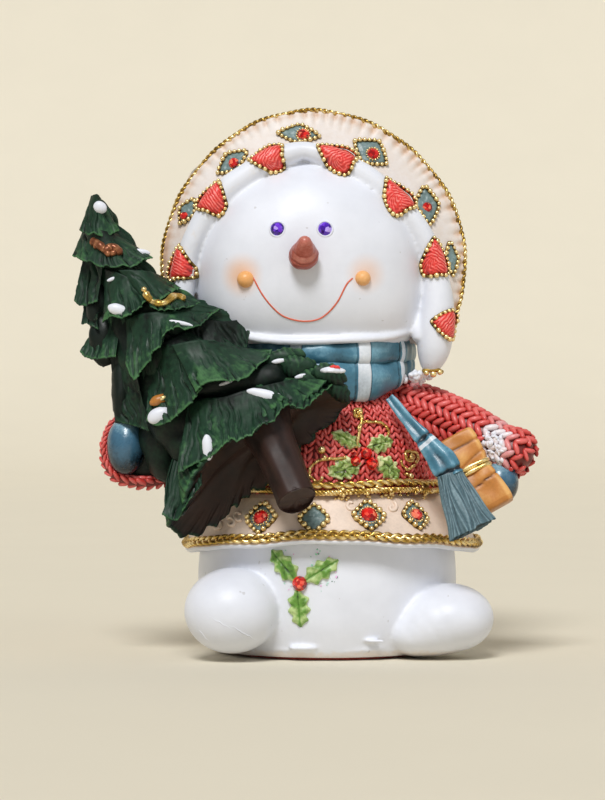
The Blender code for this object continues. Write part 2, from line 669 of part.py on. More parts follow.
def paints():
    """Every finish, as it looks from a step away."""
    return {
        "snow": material("snow paint", (0.86, 0.88, 0.93), 0.45),
        "felt": material("red felt", (0.55, 0.08, 0.05), 0.95),
        "cream": material("cream paint", (0.80, 0.63, 0.51), 0.5),
        "cap": material("bonnet paint", (0.87, 0.83, 0.82), 0.5),
        "knit": material("red knit paint", (0.60, 0.05, 0.04), 0.5),
        "gold": material("gold paint", (0.60, 0.40, 0.12), 0.3, 0.9),
        "coral": material("coral paint", (0.85, 0.10, 0.08), 0.5),
        "blue": material("grey blue paint", (0.20, 0.33, 0.40), 0.5),
        "teal": material("scarf paint", (0.08, 0.20, 0.28), 0.4),
        "mitten": material("mitten paint", (0.05, 0.12, 0.22), 0.35),
        "carrot": material("carrot paint", (0.50, 0.10, 0.07), 0.4),
        "peach": material("peach paint", (0.90, 0.48, 0.18), 0.45),
        "violet": material("violet stone", (0.10, 0.02, 0.55), 0.1),
        "ruby": material("red stone", (0.65, 0.01, 0.01), 0.1),
        "wrap": material("orange wrapping", (0.58, 0.22, 0.04), 0.5),
        "fir": material("fir paint", (0.02, 0.08, 0.04), 0.35),
        "bark": material("trunk paint", (0.05, 0.02, 0.015), 0.25),
        "holly": material("holly paint", (0.16, 0.35, 0.05), 0.45),
    }


def centre_on_origin():
    """Move everything so that the figure's bounding box is centred over the origin."""
    corners = [v.co for obj in bpy.data.objects for v in obj.data.vertices]
    shift = Vector((-(min(c.x for c in corners) + max(c.x for c in corners)) / 2,
                    -(min(c.y for c in corners) + max(c.y for c in corners)) / 2,
                    -min(c.z for c in corners)))
    for obj in bpy.data.objects:
        obj.data.transform(Matrix.Translation(shift))
    print("moved by mm", [round(s / MM, 3) for s in shift])


def build():
    """Make every solid."""
    for obj in list(bpy.data.objects):
        bpy.data.objects.remove(obj, do_unlink=True)
    paint = paints()
    _, body = make_base(paint)
    hem, jumper, hem_cord, belt = make_jumper(paint)
    head = make_head(paint)
    bonnet, brim, cord = make_bonnet(paint)
    carve(bonnet, head)
    carve(brim, head)
    carve(cord, bonnet)
    make_face(paint, head)
    hearts, diamonds, _ = make_ornaments(paint, (brim, bonnet, head), hem, body)
    carve(cord, *hearts, *diamonds[:6])
    for diamond in diamonds[6:]:
        carve(diamond, hem_cord, belt)
    scarf, strap, tassel = make_scarf(paint, (brim,))
    carve(strap, scarf, jumper, belt)
    carve(tassel, strap, jumper, belt, hem, hem_cord)
    arms = make_arms(paint, jumper)
    for arm in (arms[0], arms[3]):
        carve(arm, scarf, brim)
    carve(arms[0], strap)
    parcel, ribbon = make_parcel(paint, (arms[0], arms[1], arms[2], strap, tassel, jumper, hem, belt))
    tree, trunk = make_tree(paint)
    carve(trunk, jumper, hem, belt, hem_cord, *diamonds[6:8])
    carve(tree, trunk, body, hem, hem_cord, belt, jumper, scarf, head, brim, bonnet, cord, *hearts[:2],
          diamonds[0], diamonds[6], *arms[3:])
    make_sprigs(paint, jumper, body)
    centre_on_origin()


build()
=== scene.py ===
"""Dresses the packed snowman: painted snow, knitting, gold cords, glass stones, a fir and a parcel.

Laid out as an add-on and run as a script. Points inside the shaping functions are millimetres: x to the
viewer's right, y away from the viewer, z up from the shelf. "Left" and "right" are the viewer's.
"""

import json
import math

import bmesh
import bpy
import numpy as np
from mathutils import Vector, noise
from mathutils.bvhtree import BVHTree
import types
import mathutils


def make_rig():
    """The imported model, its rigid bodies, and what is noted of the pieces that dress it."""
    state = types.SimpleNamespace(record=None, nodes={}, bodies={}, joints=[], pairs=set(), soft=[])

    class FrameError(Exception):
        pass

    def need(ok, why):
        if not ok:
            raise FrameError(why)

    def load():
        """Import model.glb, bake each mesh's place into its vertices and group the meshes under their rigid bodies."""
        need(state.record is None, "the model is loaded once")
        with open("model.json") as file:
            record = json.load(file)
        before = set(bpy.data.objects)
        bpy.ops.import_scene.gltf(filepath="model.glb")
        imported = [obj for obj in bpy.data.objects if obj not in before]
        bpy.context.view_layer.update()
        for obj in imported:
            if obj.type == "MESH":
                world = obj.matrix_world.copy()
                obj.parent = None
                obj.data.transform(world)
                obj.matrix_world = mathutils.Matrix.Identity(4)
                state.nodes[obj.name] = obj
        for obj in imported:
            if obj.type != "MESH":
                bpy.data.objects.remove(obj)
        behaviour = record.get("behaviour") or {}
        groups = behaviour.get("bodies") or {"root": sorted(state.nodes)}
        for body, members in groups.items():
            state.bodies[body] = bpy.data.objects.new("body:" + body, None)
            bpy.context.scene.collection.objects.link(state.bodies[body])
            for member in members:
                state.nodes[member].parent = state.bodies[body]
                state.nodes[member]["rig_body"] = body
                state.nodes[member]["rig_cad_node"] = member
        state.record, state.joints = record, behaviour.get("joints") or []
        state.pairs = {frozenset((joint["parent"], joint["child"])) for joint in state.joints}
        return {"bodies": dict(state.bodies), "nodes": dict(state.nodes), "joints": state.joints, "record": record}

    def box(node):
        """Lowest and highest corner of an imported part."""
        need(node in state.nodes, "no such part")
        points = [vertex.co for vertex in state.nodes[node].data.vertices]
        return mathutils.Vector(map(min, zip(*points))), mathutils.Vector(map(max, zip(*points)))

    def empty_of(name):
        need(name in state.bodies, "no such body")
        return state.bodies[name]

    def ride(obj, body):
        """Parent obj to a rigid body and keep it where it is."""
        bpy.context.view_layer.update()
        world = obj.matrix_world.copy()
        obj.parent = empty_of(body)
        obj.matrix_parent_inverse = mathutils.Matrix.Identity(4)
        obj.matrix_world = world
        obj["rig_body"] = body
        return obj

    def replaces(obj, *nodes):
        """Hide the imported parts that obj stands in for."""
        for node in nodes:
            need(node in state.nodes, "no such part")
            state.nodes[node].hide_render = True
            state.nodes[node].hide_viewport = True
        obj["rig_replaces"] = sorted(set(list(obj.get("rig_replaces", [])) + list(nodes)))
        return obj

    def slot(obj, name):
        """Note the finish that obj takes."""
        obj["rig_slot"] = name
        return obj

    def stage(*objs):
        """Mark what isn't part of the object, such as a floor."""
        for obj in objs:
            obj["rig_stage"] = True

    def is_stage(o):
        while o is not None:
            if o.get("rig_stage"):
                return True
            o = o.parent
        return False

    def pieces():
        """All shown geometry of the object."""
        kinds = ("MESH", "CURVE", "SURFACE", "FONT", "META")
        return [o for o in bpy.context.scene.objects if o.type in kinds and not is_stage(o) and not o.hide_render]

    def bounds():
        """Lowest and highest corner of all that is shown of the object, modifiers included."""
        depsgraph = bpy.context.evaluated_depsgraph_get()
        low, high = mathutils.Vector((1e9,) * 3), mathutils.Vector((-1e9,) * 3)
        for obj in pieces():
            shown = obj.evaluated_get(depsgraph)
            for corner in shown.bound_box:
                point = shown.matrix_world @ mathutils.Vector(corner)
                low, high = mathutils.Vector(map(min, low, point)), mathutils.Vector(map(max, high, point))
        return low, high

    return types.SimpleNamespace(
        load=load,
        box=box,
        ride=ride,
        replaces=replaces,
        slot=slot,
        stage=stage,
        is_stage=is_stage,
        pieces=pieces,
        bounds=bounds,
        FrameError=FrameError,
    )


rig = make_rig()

bl_info = {
    "name": "Painted resin snowman",
    "version": (1, 0, 0),
    "blender": (4, 5, 0),
    "location": "View3D > Sidebar > Snowman",
    "description": "Shapes and paints a resin snowman with a fir tree and a parcel",
    "category": "Object",
}

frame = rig.load()
PLAIN_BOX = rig.bounds()
SIZE_FILE = "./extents.json"
MM = 0.001
BODY_X = 5.4
FELT_LOW, FELT_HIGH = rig.box("felt_pad")
FELT_MIDDLE = (BODY_X, -3.0)
SHIFT = np.array([(FELT_LOW.x + FELT_HIGH.x) / 2 / MM - FELT_MIDDLE[0],
                  (FELT_LOW.y + FELT_HIGH.y) / 2 / MM - FELT_MIDDLE[1], FELT_LOW.z / MM])
FRONT = np.array([0.0, -1.0, 0.0])
UP = np.array([0.0, 0.0, 1.0])

# The body's profile: height, half width, half depth
BODY_PROFILE = ((1.25, 19.6, 17.0), (1.0, 21.6, 19.2), (0.6, 23.2, 20.8), (1.0, 24.4, 21.8),
                (3.2, 25.9, 22.9), (8.0, 27.6, 24.4), (14.0, 28.3, 24.9), (20.0, 28.2, 24.8),
                (25.2, 27.6, 24.3))
# The front drawing: how far off and how high its eye is, how many mm one unit is, and where its middle is
EYE_DISTANCE = 600.0
EYE_HEIGHT = 55.4
DRAWING_STEP = 0.22
DRAWING_MIDDLE = (302.5, 400.0)
FUSE_VOXEL = 0.42
FELT_HALF = (19.0, 17.0)
RAY_START, RAY_REACH = 8.0, 11.5
# Feet, the drawn-out side of the right one, and drips at the base: middle, half sizes, rows, columns
LUMPS = (((-15.0, -21.0, 10.7), (10.1, 9.9, 9.1), 40, 60), ((31.4, -15.0, 8.7), (9.6, 10.5, 7.4), 40, 60),
         ((29.6, -15.2, 8.1), (9.0, 10.2, 7.3), 36, 50), ((27.8, -15.2, 7.3), (8.4, 9.8, 6.8), 36, 50),
         ((26.2, -15.0, 6.5), (7.9, 9.4, 6.1), 36, 50), ((24.8, -14.8, 5.8), (7.4, 9.0, 5.4), 36, 50),
         ((0.2, -22.7, 2.9), (3.2, 1.0, 0.6), 10, 24), ((22.6, -19.6, 2.4), (1.3, 1.2, 0.8), 10, 16),
         ((15.5, -22.8, 4.4), (2.4, 0.7, 0.35), 8, 24))
# The head: middle, half sizes, how square it is, and how far it reaches down
HEAD_CENTRE = (1.7, -3.0, 84.0)
HEAD_HALF = (25.2, 20.5, 24.0)
HEAD_FULLNESS = 2.4
HEAD_DOWN = 22.0
CHIN_Z = 67.5
CAP_CENTRE = (2.1, 85.5)
CAP_RIM_Y = 0.4
CAP_BACK_Y = 26.0
CAP_WIDEST = 34.3
CAP_FOOT_Z = 67.7
# The cap's rim: direction in degrees and how far it lies from the cap's middle
RIM_REACH = ((-36, 33.2), (0, 33.4), (20, 33.4), (45, 32.9), (70, 33.1), (90, 33.4), (112, 33.0), (135, 32.3),
             (160, 32.4), (180, 32.8), (200, 33.0), (216, 33.2))
ROLL_Y = -10.7
ROLL_LEAN = 2.4
# The roll around the face: x, z and radius
ROLL_PATH = ((-25.0, 61.5, 2.4), (-26.4, 70.0, 3.0), (-26.3, 77.0, 2.9), (-25.0, 85.2, 2.5),
             (-23.5, 89.9, 2.5), (-20.9, 94.6, 2.7), (-16.5, 100.3, 2.8), (-12.3, 103.6, 2.6),
             (-7.0, 106.9, 2.6), (-2.7, 108.5, 2.35), (0.6, 109.1, 2.0), (4.9, 107.8, 2.3),
             (9.2, 106.0, 2.4), (13.5, 103.6, 2.6), (17.4, 100.4, 2.7), (21.5, 96.3, 2.7), (24.8, 92.2, 2.6),
             (27.1, 87.8, 2.6), (28.2, 83.9, 2.8), (28.9, 80.3, 3.1), (29.1, 77.0, 3.4), (29.0, 73.8, 3.7),
             (28.7, 70.1, 3.9), (28.3, 66.2, 3.6), (27.9, 63.2, 2.6), (27.8, 61.2, 1.3))
SMILE = ((-10.5, 81.4), (-8.6, 77.9), (-6.3, 75.0), (-3.7, 73.0), (0.4, 72.1), (4.1, 72.9), (7.2, 75.9),
         (9.3, 79.8), (10.6, 81.2))
CHEEKS = ((-12.1, 81.0, 1.9), (12.8, 81.2, 1.7))
EYES = ((-5.3, 91.6), (4.75, 91.6))
EYE_STONE, EYE_RIM = 1.45, 1.62
NOSE = (0.15, 85.6)
NOSE_RADIUS, NOSE_LENGTH = 3.1, 7.6
NOSE_AIM = (0.05, -0.84, 0.54)

# Hearts and diamonds: x, z, width, height, turn in degrees
HEARTS = ((-27.1, 85.2, 6.6, 8.0, 98), (-19.5, 99.2, 7.0, 7.2, 72), (-7.9, 107.6, 6.2, 7.4, 185),
          (7.2, 108.0, 6.6, 8.6, 152), (20.4, 99.6, 7.6, 8.4, 118), (28.8, 86.2, 6.2, 8.2, 95),
          (30.9, 71.8, 6.2, 6.4, 172))
CAP_DIAMONDS = ((-25.2, 96.8, 4.2, 6.6, -30), (-15.3, 107.5, 5.2, 8.4, -52), (-0.8, 113.6, 5.0, 9.6, 84),
                (14.9, 109.6, 7.0, 9.0, 52), (27.2, 98.0, 6.0, 9.4, 4), (32.6, 86.4, 3.4, 8.0, 4))
HEM_DIAMONDS = ((-8.7, 30.4, 7.0, 7.6, 0), (2.4, 30.4, 6.6, 7.0, 0), (14.0, 31.0, 7.2, 7.4, 0),
                (24.0, 30.8, 6.6, 7.2, 0))
# Stones: x, z, radius
CAP_STONES = ((-25.9, 95.7, 0.95), (-15.0, 107.2, 1.2), (0.2, 113.4, 1.35), (15.4, 109.2, 1.3),
              (27.3, 97.6, 1.1))
HEM_STONES = ((-8.8, 30.5, 1.6), (14.0, 31.1, 1.75), (24.2, 30.9, 1.4))
# Beads under the roll's right end, and the wire they sit on
SHOULDER_BEADS = ((28.2, 61.0, 0.75), (26.7, 61.3, 0.65), (29.6, 61.4, 0.6), (27.5, 61.9, 0.5))
SHOULDER_WIRE = ((25.9, -11.9, 61.6), (27.4, -12.3, 61.9), (29.0, -12.2, 61.9), (30.2, -11.4, 61.4))
# Leaves: x, z, length, width, turn in degrees
CHEST_LEAVES = ((9.0, 46.9, 7.2, 4.2, 150), (16.4, 45.9, 7.0, 4.8, 12), (9.0, 40.8, 7.4, 5.0, 212),
                (18.4, 40.6, 7.8, 5.2, -48))
BELLY_LEAVES = ((-3.9, 20.4, 9.4, 5.6, 131), (3.9, 19.4, 9.4, 5.4, 32), (-0.7, 11.4, 8.8, 5.8, -86))
CHEST_BERRIES = ((13.8, 44.1, 1.3), (14.5, 42.0, 1.4), (11.1, 42.1, 1.1), (10.6, 44.0, 0.8))
BELLY_BERRY = (-0.5, 16.7, 1.6)
FLECK = 0.14
# Glitter: x, z, spread and number of flecks
GLITTER = ((14.9, 37.9, 0.5, 6), (-4.4, 21.6, 1.3, 16), (4.6, 20.4, 1.6, 18), (-0.6, 11.0, 1.0, 12),
           (8.8, 40.6, 1.2, 16), (9.0, 46.6, 1.2, 12), (3.0, 23.2, 0.4, 5), (2.6, 28.6, 0.9, 10),
           (5.5, 17.4, 1.0, 10), (-3.0, 16.0, 1.0, 8))
# Gold scrolls: points, radius and lift of each bent wire
SCROLLS = (
    (((11.8, 48.2), (12.1, 49.6), (13.2, 50.5), (14.8, 50.6), (16.4, 50.4), (17.7, 49.5), (18.2, 48.3),
      (17.9, 47.5)), 0.26, 0.5),
    (((20.7, 42.4), (21.4, 41.0), (22.7, 40.6), (23.9, 41.2)), 0.24, 0.45),
    (((9.3, 43.1), (7.4, 43.0), (5.4, 42.9), (3.7, 42.5), (2.2, 41.7), (1.5, 40.4), (1.6, 39.2), (2.5, 38.3),
      (3.6, 38.3), (4.2, 39.1)), 0.27, 0.45),
    (((21.6, 39.4), (22.6, 39.3), (23.0, 38.4), (22.7, 37.4), (23.6, 36.9)), 0.28, 0.45),
    (((25.2, 37.2), (26.4, 36.6), (27.0, 35.7)), 0.3, 0.45),
)


# ---------------------------------------------------------------- what a user would change
def length(label, text, value):
    """A length a user can change."""
    return bpy.props.FloatProperty(name=label, description=text, default=value, unit="LENGTH", precision=5)


class SnowmanSizes(bpy.types.PropertyGroup):
    """Sizes of the repeated and trimmed details."""
    bead_radius: length("Bead radius", "Gold beads around the ornaments", 0.0005)
    bead_spacing: length("Bead spacing", "Distance from one bead to the next", 0.00112)
    stitch_width: length("Stitch width", "Width of a column of knitting", 0.0021)
    stitch_pitch: length("Stitch pitch", "Height of a row of knitting", 0.00145)
    sleeve_stitch_width: length("Sleeve stitch width", "Width of a sleeve's column", 0.0039)
    sleeve_stitch_pitch: length("Sleeve stitch pitch", "Height of a sleeve's row", 0.0019)
    cord_pitch: length("Cord pitch", "Length of one full twist of the cap's cord", 0.0026)
    plait_pitch: length("Plait pitch", "Length of one full crossing of the hem's plait", 0.0070)
    gather_depth: length("Gather depth", "Depth of the small gathers at the cap's rim", 0.00035)
    groove_depth: length("Groove depth", "Depth of the needle grooves on the fir", 0.00045)
    smile_radius: length("Smile line", "Half thickness of the painted smile", 0.00024)


def colour(label, text, value):
    """A colour a user can change."""
    return bpy.props.FloatVectorProperty(name=label, description=text, subtype="COLOR", size=3, min=0, max=1,
                                         default=value)


class SnowmanColours(bpy.types.PropertyGroup):
    """Main paints; their hollows and ridges are mixed from these."""
    snow: colour("Snow", "Body, face and roll", (0.79, 0.815, 0.89))
    cream: colour("Cream", "Hem band", (0.84, 0.68, 0.56))
    knit: colour("Knit", "Jumper and sleeves", (0.60, 0.045, 0.035))
    gold: colour("Gold", "Cords, beads and scrolls", (0.62, 0.39, 0.085))
    coral: colour("Coral", "Hearts", (0.88, 0.055, 0.045))
    slate: colour("Slate", "Diamonds", (0.19, 0.28, 0.28))
    scarf: colour("Scarf", "Scarf", (0.065, 0.205, 0.295))
    mitten: colour("Mitten", "Both mittens", (0.055, 0.155, 0.245))
    carrot: colour("Carrot", "Nose", (0.44, 0.09, 0.06))
    peach: colour("Peach", "Cheeks and their blush", (0.86, 0.42, 0.14))
    fir: colour("Fir", "Needles", (0.011, 0.042, 0.021))
    bark: colour("Bark", "Trunk and underside", (0.038, 0.016, 0.011))
    wrapping: colour("Wrapping", "Parcel", (0.56, 0.215, 0.04))
    holly: colour("Holly", "Leaves", (0.15, 0.34, 0.05))
    ruby: colour("Ruby", "Red stones", (0.62, 0.006, 0.006))
    violet: colour("Violet", "Eyes", (0.085, 0.012, 0.50))
    stage: colour("Stage", "Floor and backdrop", (0.745, 0.69, 0.565))


# ---------------------------------------------------------------- shaping
def smooth_path(points, count, closed=False):
    """Evenly many points on a smooth curve through the given ones."""
    p = np.asarray(points, float)
    n = len(p)
    if closed:
        ext = np.vstack([p[-1], p, p[0], p[1]])
        spans = n
    else:
        ext = np.vstack([2 * p[0] - p[1], p, 2 * p[-1] - p[-2]])
        spans = n - 1
    t = np.linspace(0, spans, count, endpoint=not closed)
    i = np.minimum(t.astype(int), spans - 1)
    f = (t - i)[:, None]
    a, b, c, d = ext[i], ext[i + 1], ext[i + 2], ext[i + 3]
    return 0.5 * (2 * b + (c - a) * f + (2 * a - 5 * b + 4 * c - d) * f ** 2
                  + (3 * b - a - 3 * c + d) * f ** 3)


def unit(v):
    """Vectors scaled to length one."""
    v = np.asarray(v, float)
    return v / np.maximum(np.linalg.norm(v, axis=-1, keepdims=True), 1e-9)


def noise_of(x, y, z):
    """Soft noise from -1 to 1 at one point."""
    return noise.noise(Vector((x, y, z)))


def wave_noise(points, size, seed=0.0):
    """Soft noise from -1 to 1 at each point; size is the breadth of a lump in millimetres."""
    shift = Vector((seed * 7.1, seed * 3.3, -seed * 5.7))
    return np.array([noise.noise(Vector(p) / size + shift) for p in np.asarray(points).reshape(-1, 3)])


def circle(count):
    """Evenly spaced angles once around."""
    return np.linspace(0, math.tau, count, endpoint=False)


def run_along(points):
    """The distance along a path to each of its points."""
    return np.r_[0, np.cumsum(np.linalg.norm(np.diff(points, axis=0), axis=1))]


def read_at(at, run, points):
    """Points of a path at these distances along it."""
    return np.stack([np.interp(at, run, column) for column in np.asarray(points).T], -1)


def resampled(points, count):
    """A closed outline as this many evenly spaced points."""
    loop = np.vstack([points, points[:1]])
    run = run_along(loop)
    return read_at(np.linspace(0, run[-1], count, endpoint=False), run, loop)


def eased(path, times):
    """An open path with its bends softened and its ends kept."""
    for _ in range(times):
        path[1:-1] = (path[:-2] + 2 * path[1:-1] + path[2:]) / 4
    return path


def spin(degrees):
    """The turn of a shape counterclockwise as seen from the front."""
    c, s = math.cos(math.radians(degrees)), math.sin(math.radians(degrees))
    return np.array([[c, 0, -s], [0, 1, 0], [s, 0, c]])


def bump(values, middle, spread, power=2):
    """A soft bump of height one around a middle value."""
    return np.exp(-((values - middle) / spread) ** power)


def grid_faces(rows, columns, loop=False):
    """Quads over a tube of points; loop joins the last row to the first."""
    faces = []
    for r in range(rows if loop else rows - 1):
        a, b = r * columns, (r + 1) % rows * columns
        for c in range(columns):
            d = (c + 1) % columns
            faces.append((a + c, a + d, b + d, b + c))
    return faces


def end_faces(rows, columns):
    """Triangles from both ends of a tube to the two middle points that follow its own points."""
    first, end = rows * columns, (rows - 1) * columns
    return ([(first, (c + 1) % columns, c) for c in range(columns)]
            + [(first + 1, end + c, end + (c + 1) % columns) for c in range(columns)])


class Form:
    """A piece while it is shaped: points in millimetres, a tone per point and a paint number per face."""

    def __init__(self):
        self.points, self.tones, self.faces, self.paints = [], [], [], []
        self.count = 0

    def add(self, points, faces, tone=0.5, paint=0):
        """Add a patch; tone and paint are one value or one per point or face."""
        points = np.asarray(points, float).reshape(-1, 3)
        self.points.append(points)
        self.tones.append(np.broadcast_to(np.asarray(tone, float).ravel() if np.ndim(tone) else tone,
                                          len(points)))
        self.faces.extend(tuple(i + self.count for i in f) for f in faces)
        self.paints.extend(paint if np.ndim(paint) else [paint] * len(faces))
        self.count += len(points)

    def skin(self, rings, tone=0.5, paint=0, loop=False):
        """A closed skin over rings of points: capped to a middle point at both ends, or looped."""
        rings = np.asarray(rings, float)
        rows, columns = rings.shape[:2]
        points = rings.reshape(-1, 3)
        tones = np.clip(np.broadcast_to(tone, (rows, columns)).ravel(), 0, 1)
        faces = grid_faces(rows, columns, loop)
        paints = list(np.repeat(paint, columns)) if np.ndim(paint) else [paint] * len(faces)
        if not loop:
            points = np.vstack([points, rings[0].mean(0), rings[-1].mean(0)])
            tones = np.append(tones, [tones[0], tones[-1]])
            faces += end_faces(rows, columns)
            paints += [paints[0]] * columns + [paints[-1]] * columns
        self.add(points, faces, tones, paints)

    def ball(self, centre, radii, rows=16, columns=24, lumps=0.0, tone=0.5, paint=0, turn=None, seed=0.0):
        """An ellipsoid with its poles on the z axis, optionally lumpy and turned."""
        p, a = np.meshgrid(np.linspace(0, math.pi, rows + 2)[1:-1], circle(columns), indexing="ij")
        rings = np.stack([np.sin(p) * np.cos(a), np.sin(p) * np.sin(a), np.cos(p)], -1) * np.asarray(radii)
        poles = np.array([[0, 0, radii[2]], [0, 0, -radii[2]]], float)
        if turn is not None:
            rings, poles = rings @ turn.T, poles @ turn.T
        rings, poles = rings + np.asarray(centre), poles + np.asarray(centre)
        if lumps:
            swell = 1 + lumps * wave_noise(rings, min(radii) * 1.3, seed).reshape(rows, columns, 1)
            rings = np.asarray(centre) + (rings - np.asarray(centre)) * swell
        faces = grid_faces(rows, columns) + end_faces(rows, columns)
        self.add(np.vstack([rings.reshape(-1, 3), poles]), faces, tone, paint)

    def tube(self, path, radius, columns=12, tone=0.5, loop=False, towards=FRONT):
        """A tube along a path; its radius may vary."""
        self.skin(tube_rings(path, radius, columns, 1.0, loop, towards), tone, loop=loop)


def tube_rings(path, radius, columns=12, flat=1.0, loop=False, towards=FRONT):
    """Rings of points around a path; flat squashes them along the given direction, radius may vary."""
    path = np.asarray(path, float)[:, :3]
    radius = np.broadcast_to(radius, len(path))[:, None, None]
    along = np.roll(path, -1, 0) - np.roll(path, 1, 0) if loop else np.gradient(path, axis=0)
    along = unit(along)
    side = unit(np.cross(along, towards))
    front = np.cross(side, along)
    a = circle(columns)[None, :, None]
    return path[:, None] + radius * (side[:, None] * np.cos(a) + front[:, None] * np.sin(a) * flat)


def shift_out(rings, amount, loop=False):
    """Move a grid of points along its own outward normals."""
    rings = np.asarray(rings, float)
    across = np.roll(rings, -1, 1) - np.roll(rings, 1, 1)
    along = np.roll(rings, -1, 0) - np.roll(rings, 1, 0) if loop else np.gradient(rings, axis=0)
    normal = unit(np.cross(across, along))
    middle = rings.mean(1, keepdims=True)
    if np.sum(normal * (rings - middle)) < 0:
        normal = -normal
    return rings + normal * np.asarray(amount)[..., None]


class Skin:
    """The surface of finished pieces, for laying other pieces on it."""

    def __init__(self, *names):
        points, faces, start = [], [], 0
        for name in names:
            mesh = bpy.data.objects[name].data
            points.extend(places_of(mesh))
            faces.extend(tuple(start + i for i in p.vertices) for p in mesh.polygons)
            start += len(mesh.vertices)
        self.tree = BVHTree.FromPolygons([Vector(p) for p in points], faces)

    def hit(self, start, direction, reach=60.0):
        """Where a ray meets the surface, or None."""
        place = self.tree.ray_cast(Vector(start), Vector(direction), reach)[0]
        return None if place is None else np.array(place)

    def front(self, x, z):
        """The surface in front at this place, and the way it faces over about a millimetre."""
        near = [self.hit((x + dx, -90.0, z + dz), (0, 1, 0), 130)
                for dx, dz in ((0, 0), (0.6, 0), (-0.6, 0), (0, 0.6), (0, -0.6))]
        if near[0] is None:
            raise ValueError(f"nothing lies behind x {x}, z {z}")
        near = [near[0] if n is None or abs(n[1] - near[0][1]) > 3 else n for n in near]
        across, up = near[1] - near[2], near[3] - near[4]
        if np.linalg.norm(across) < 0.1 or np.linalg.norm(up) < 0.1:
            return near[0], FRONT.copy()
        normal = unit(np.cross(across, up))
        return near[0], normal if normal[1] < 0 else -normal

    def facing(self, x, z, forward=1.0):
        """The surface in front at this place, and the way it faces, turned towards the viewer."""
        place, normal = self.front(x, z)
        return place, unit(normal + FRONT * forward)

    def trace(self, points, lift=0.0):
        """A path over the surface in front, raised along the way it faces."""
        return np.array([place + normal * lift for place, normal in (self.front(x, z) for x, z in points)])


def tangent_frame(normal):
    """Right and up directions on a surface that faces along normal."""
    right = unit(np.cross(-normal, UP))
    return right, np.cross(right, -normal)


def turned(outline, degrees):
    """An outline turned counterclockwise."""
    c, s = math.cos(math.radians(degrees)), math.sin(math.radians(degrees))
    return np.asarray(outline, float) @ np.array([[c, s], [-s, c]])


def laid_patch(form, outline, place, normal, skin, height, rings=12, sink=0.5, fall=3.0, relief=None,
               tone=None,
               paint=0):
    """A domed patch over a surface; relief and tone are functions of (u, v, share of the way out)."""
    right, up = tangent_frame(normal)
    outline = np.asarray(outline, float)
    points, tones = [], []
    for share in np.linspace(0, 1, rings + 1)[1:]:
        for u, v in outline * share:
            spot = place + right * u + up * v
            hit = skin.hit(spot + normal * RAY_START, -normal, RAY_START + fall)
            base = hit if hit is not None else spot - normal * fall
            lift = height * (1 - share ** 5) ** 0.5 + (relief(u, v, share) if relief else 0.0)
            points.append(base + normal * lift)
            tones.append(tone(u, v, share) if tone else 0.5)
    columns = len(outline)
    points = np.array(points).reshape(rings, columns, 3)
    tones = np.array(tones).reshape(rings, columns)
    under = points[-1] - normal * sink
    under_in = place + (under - place) * 0.6 - normal * sink
    form.skin(np.stack([*points, under, under_in]), np.vstack([tones, tones[-1], tones[-1]]), paint)


def outline_of(shape, width, height, turn, count=48, rounding=2):
    """A closed outline of evenly spaced points, with its corners rounded a little."""
    even = resampled(np.asarray(shape, float) * (height, width), count)
    for _ in range(rounding):
        even = (np.roll(even, 1, 0) + 2 * even + np.roll(even, -1, 0)) / 4
    return turned(even, turn)


def along_outline(outline, spacing):
    """Points every so far along a closed outline."""
    length = run_along(np.vstack([outline, outline[:1]]))[-1]
    return resampled(outline, max(3, round(length / spacing)))


# ---------------------------------------------------------------- finished pieces
def store(mesh, name, values):
    """A vector or a number on every point of a mesh."""
    values = np.asarray(values, dtype=np.float32)
    kind, key = ("FLOAT_VECTOR", "vector") if values.ndim == 2 else ("FLOAT", "value")
    mesh.attributes.new(name, kind, "POINT").data.foreach_set(key, values.ravel())


def linked(name, points, edges, faces, smooth=False):
    """A new mesh object."""
    mesh = bpy.data.meshes.new(name)
    mesh.from_pydata(points, edges, faces)
    mesh.polygons.foreach_set("use_smooth", [smooth] * len(mesh.polygons))
    obj = bpy.data.objects.new(name, mesh)
    bpy.context.collection.objects.link(obj)
    return obj


def raw_object(name, points, faces, edges=()):
    """A mesh object from points in millimetres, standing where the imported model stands."""
    return linked(name, ((np.asarray(points) + SHIFT) * MM).tolist(), edges, faces)


def places_of(mesh):
    """The points of a mesh in millimetres."""
    places = np.empty(len(mesh.vertices) * 3)
    mesh.vertices.foreach_get("co", places)
    return places.reshape(-1, 3) / MM - SHIFT


def finish_piece(obj, slot, nodes, smooth=True, sharp=None):
    """Close, orient and shade a piece, and hand it to the frame."""
    bm = bmesh.new()
    bm.from_mesh(obj.data)
    bmesh.ops.remove_doubles(bm, verts=bm.verts, dist=0.002 * MM)
    bmesh.ops.recalc_face_normals(bm, faces=bm.faces)
    bm.to_mesh(obj.data)
    bm.free()
    obj.data.polygons.foreach_set("use_smooth", [smooth] * len(obj.data.polygons))
    if smooth and sharp:
        obj.data.set_sharp_from_angle(angle=math.radians(sharp))
    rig.ride(obj, "root")
    if nodes:
        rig.replaces(obj, *nodes)
    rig.slot(obj, slot)


def settle(form, name, finishes, nodes=(), smooth=True, sharp=None):
    """Turn a form into a finished piece; finishes names its paints, and the first one gives its slot."""
    finishes = finishes.split(" + ")
    obj = raw_object(name, np.vstack(form.points), form.faces)
    for finish in finishes:
        obj.data.materials.append(paint(finish))
    obj.data.polygons.foreach_set("material_index", np.asarray(form.paints, dtype=np.int32))
    store(obj.data, "tone", np.concatenate(form.tones))
    finish_piece(obj, SLOTS[finishes[0]], nodes, smooth, sharp)


def taken_mesh(obj):
    """Swap an object's mesh for what its modifiers make of it, and drop them."""
    bpy.context.view_layer.update()
    made = bpy.data.meshes.new_from_object(obj.evaluated_get(bpy.context.evaluated_depsgraph_get()))
    obj.modifiers.clear()
    obj.data = made
    return obj


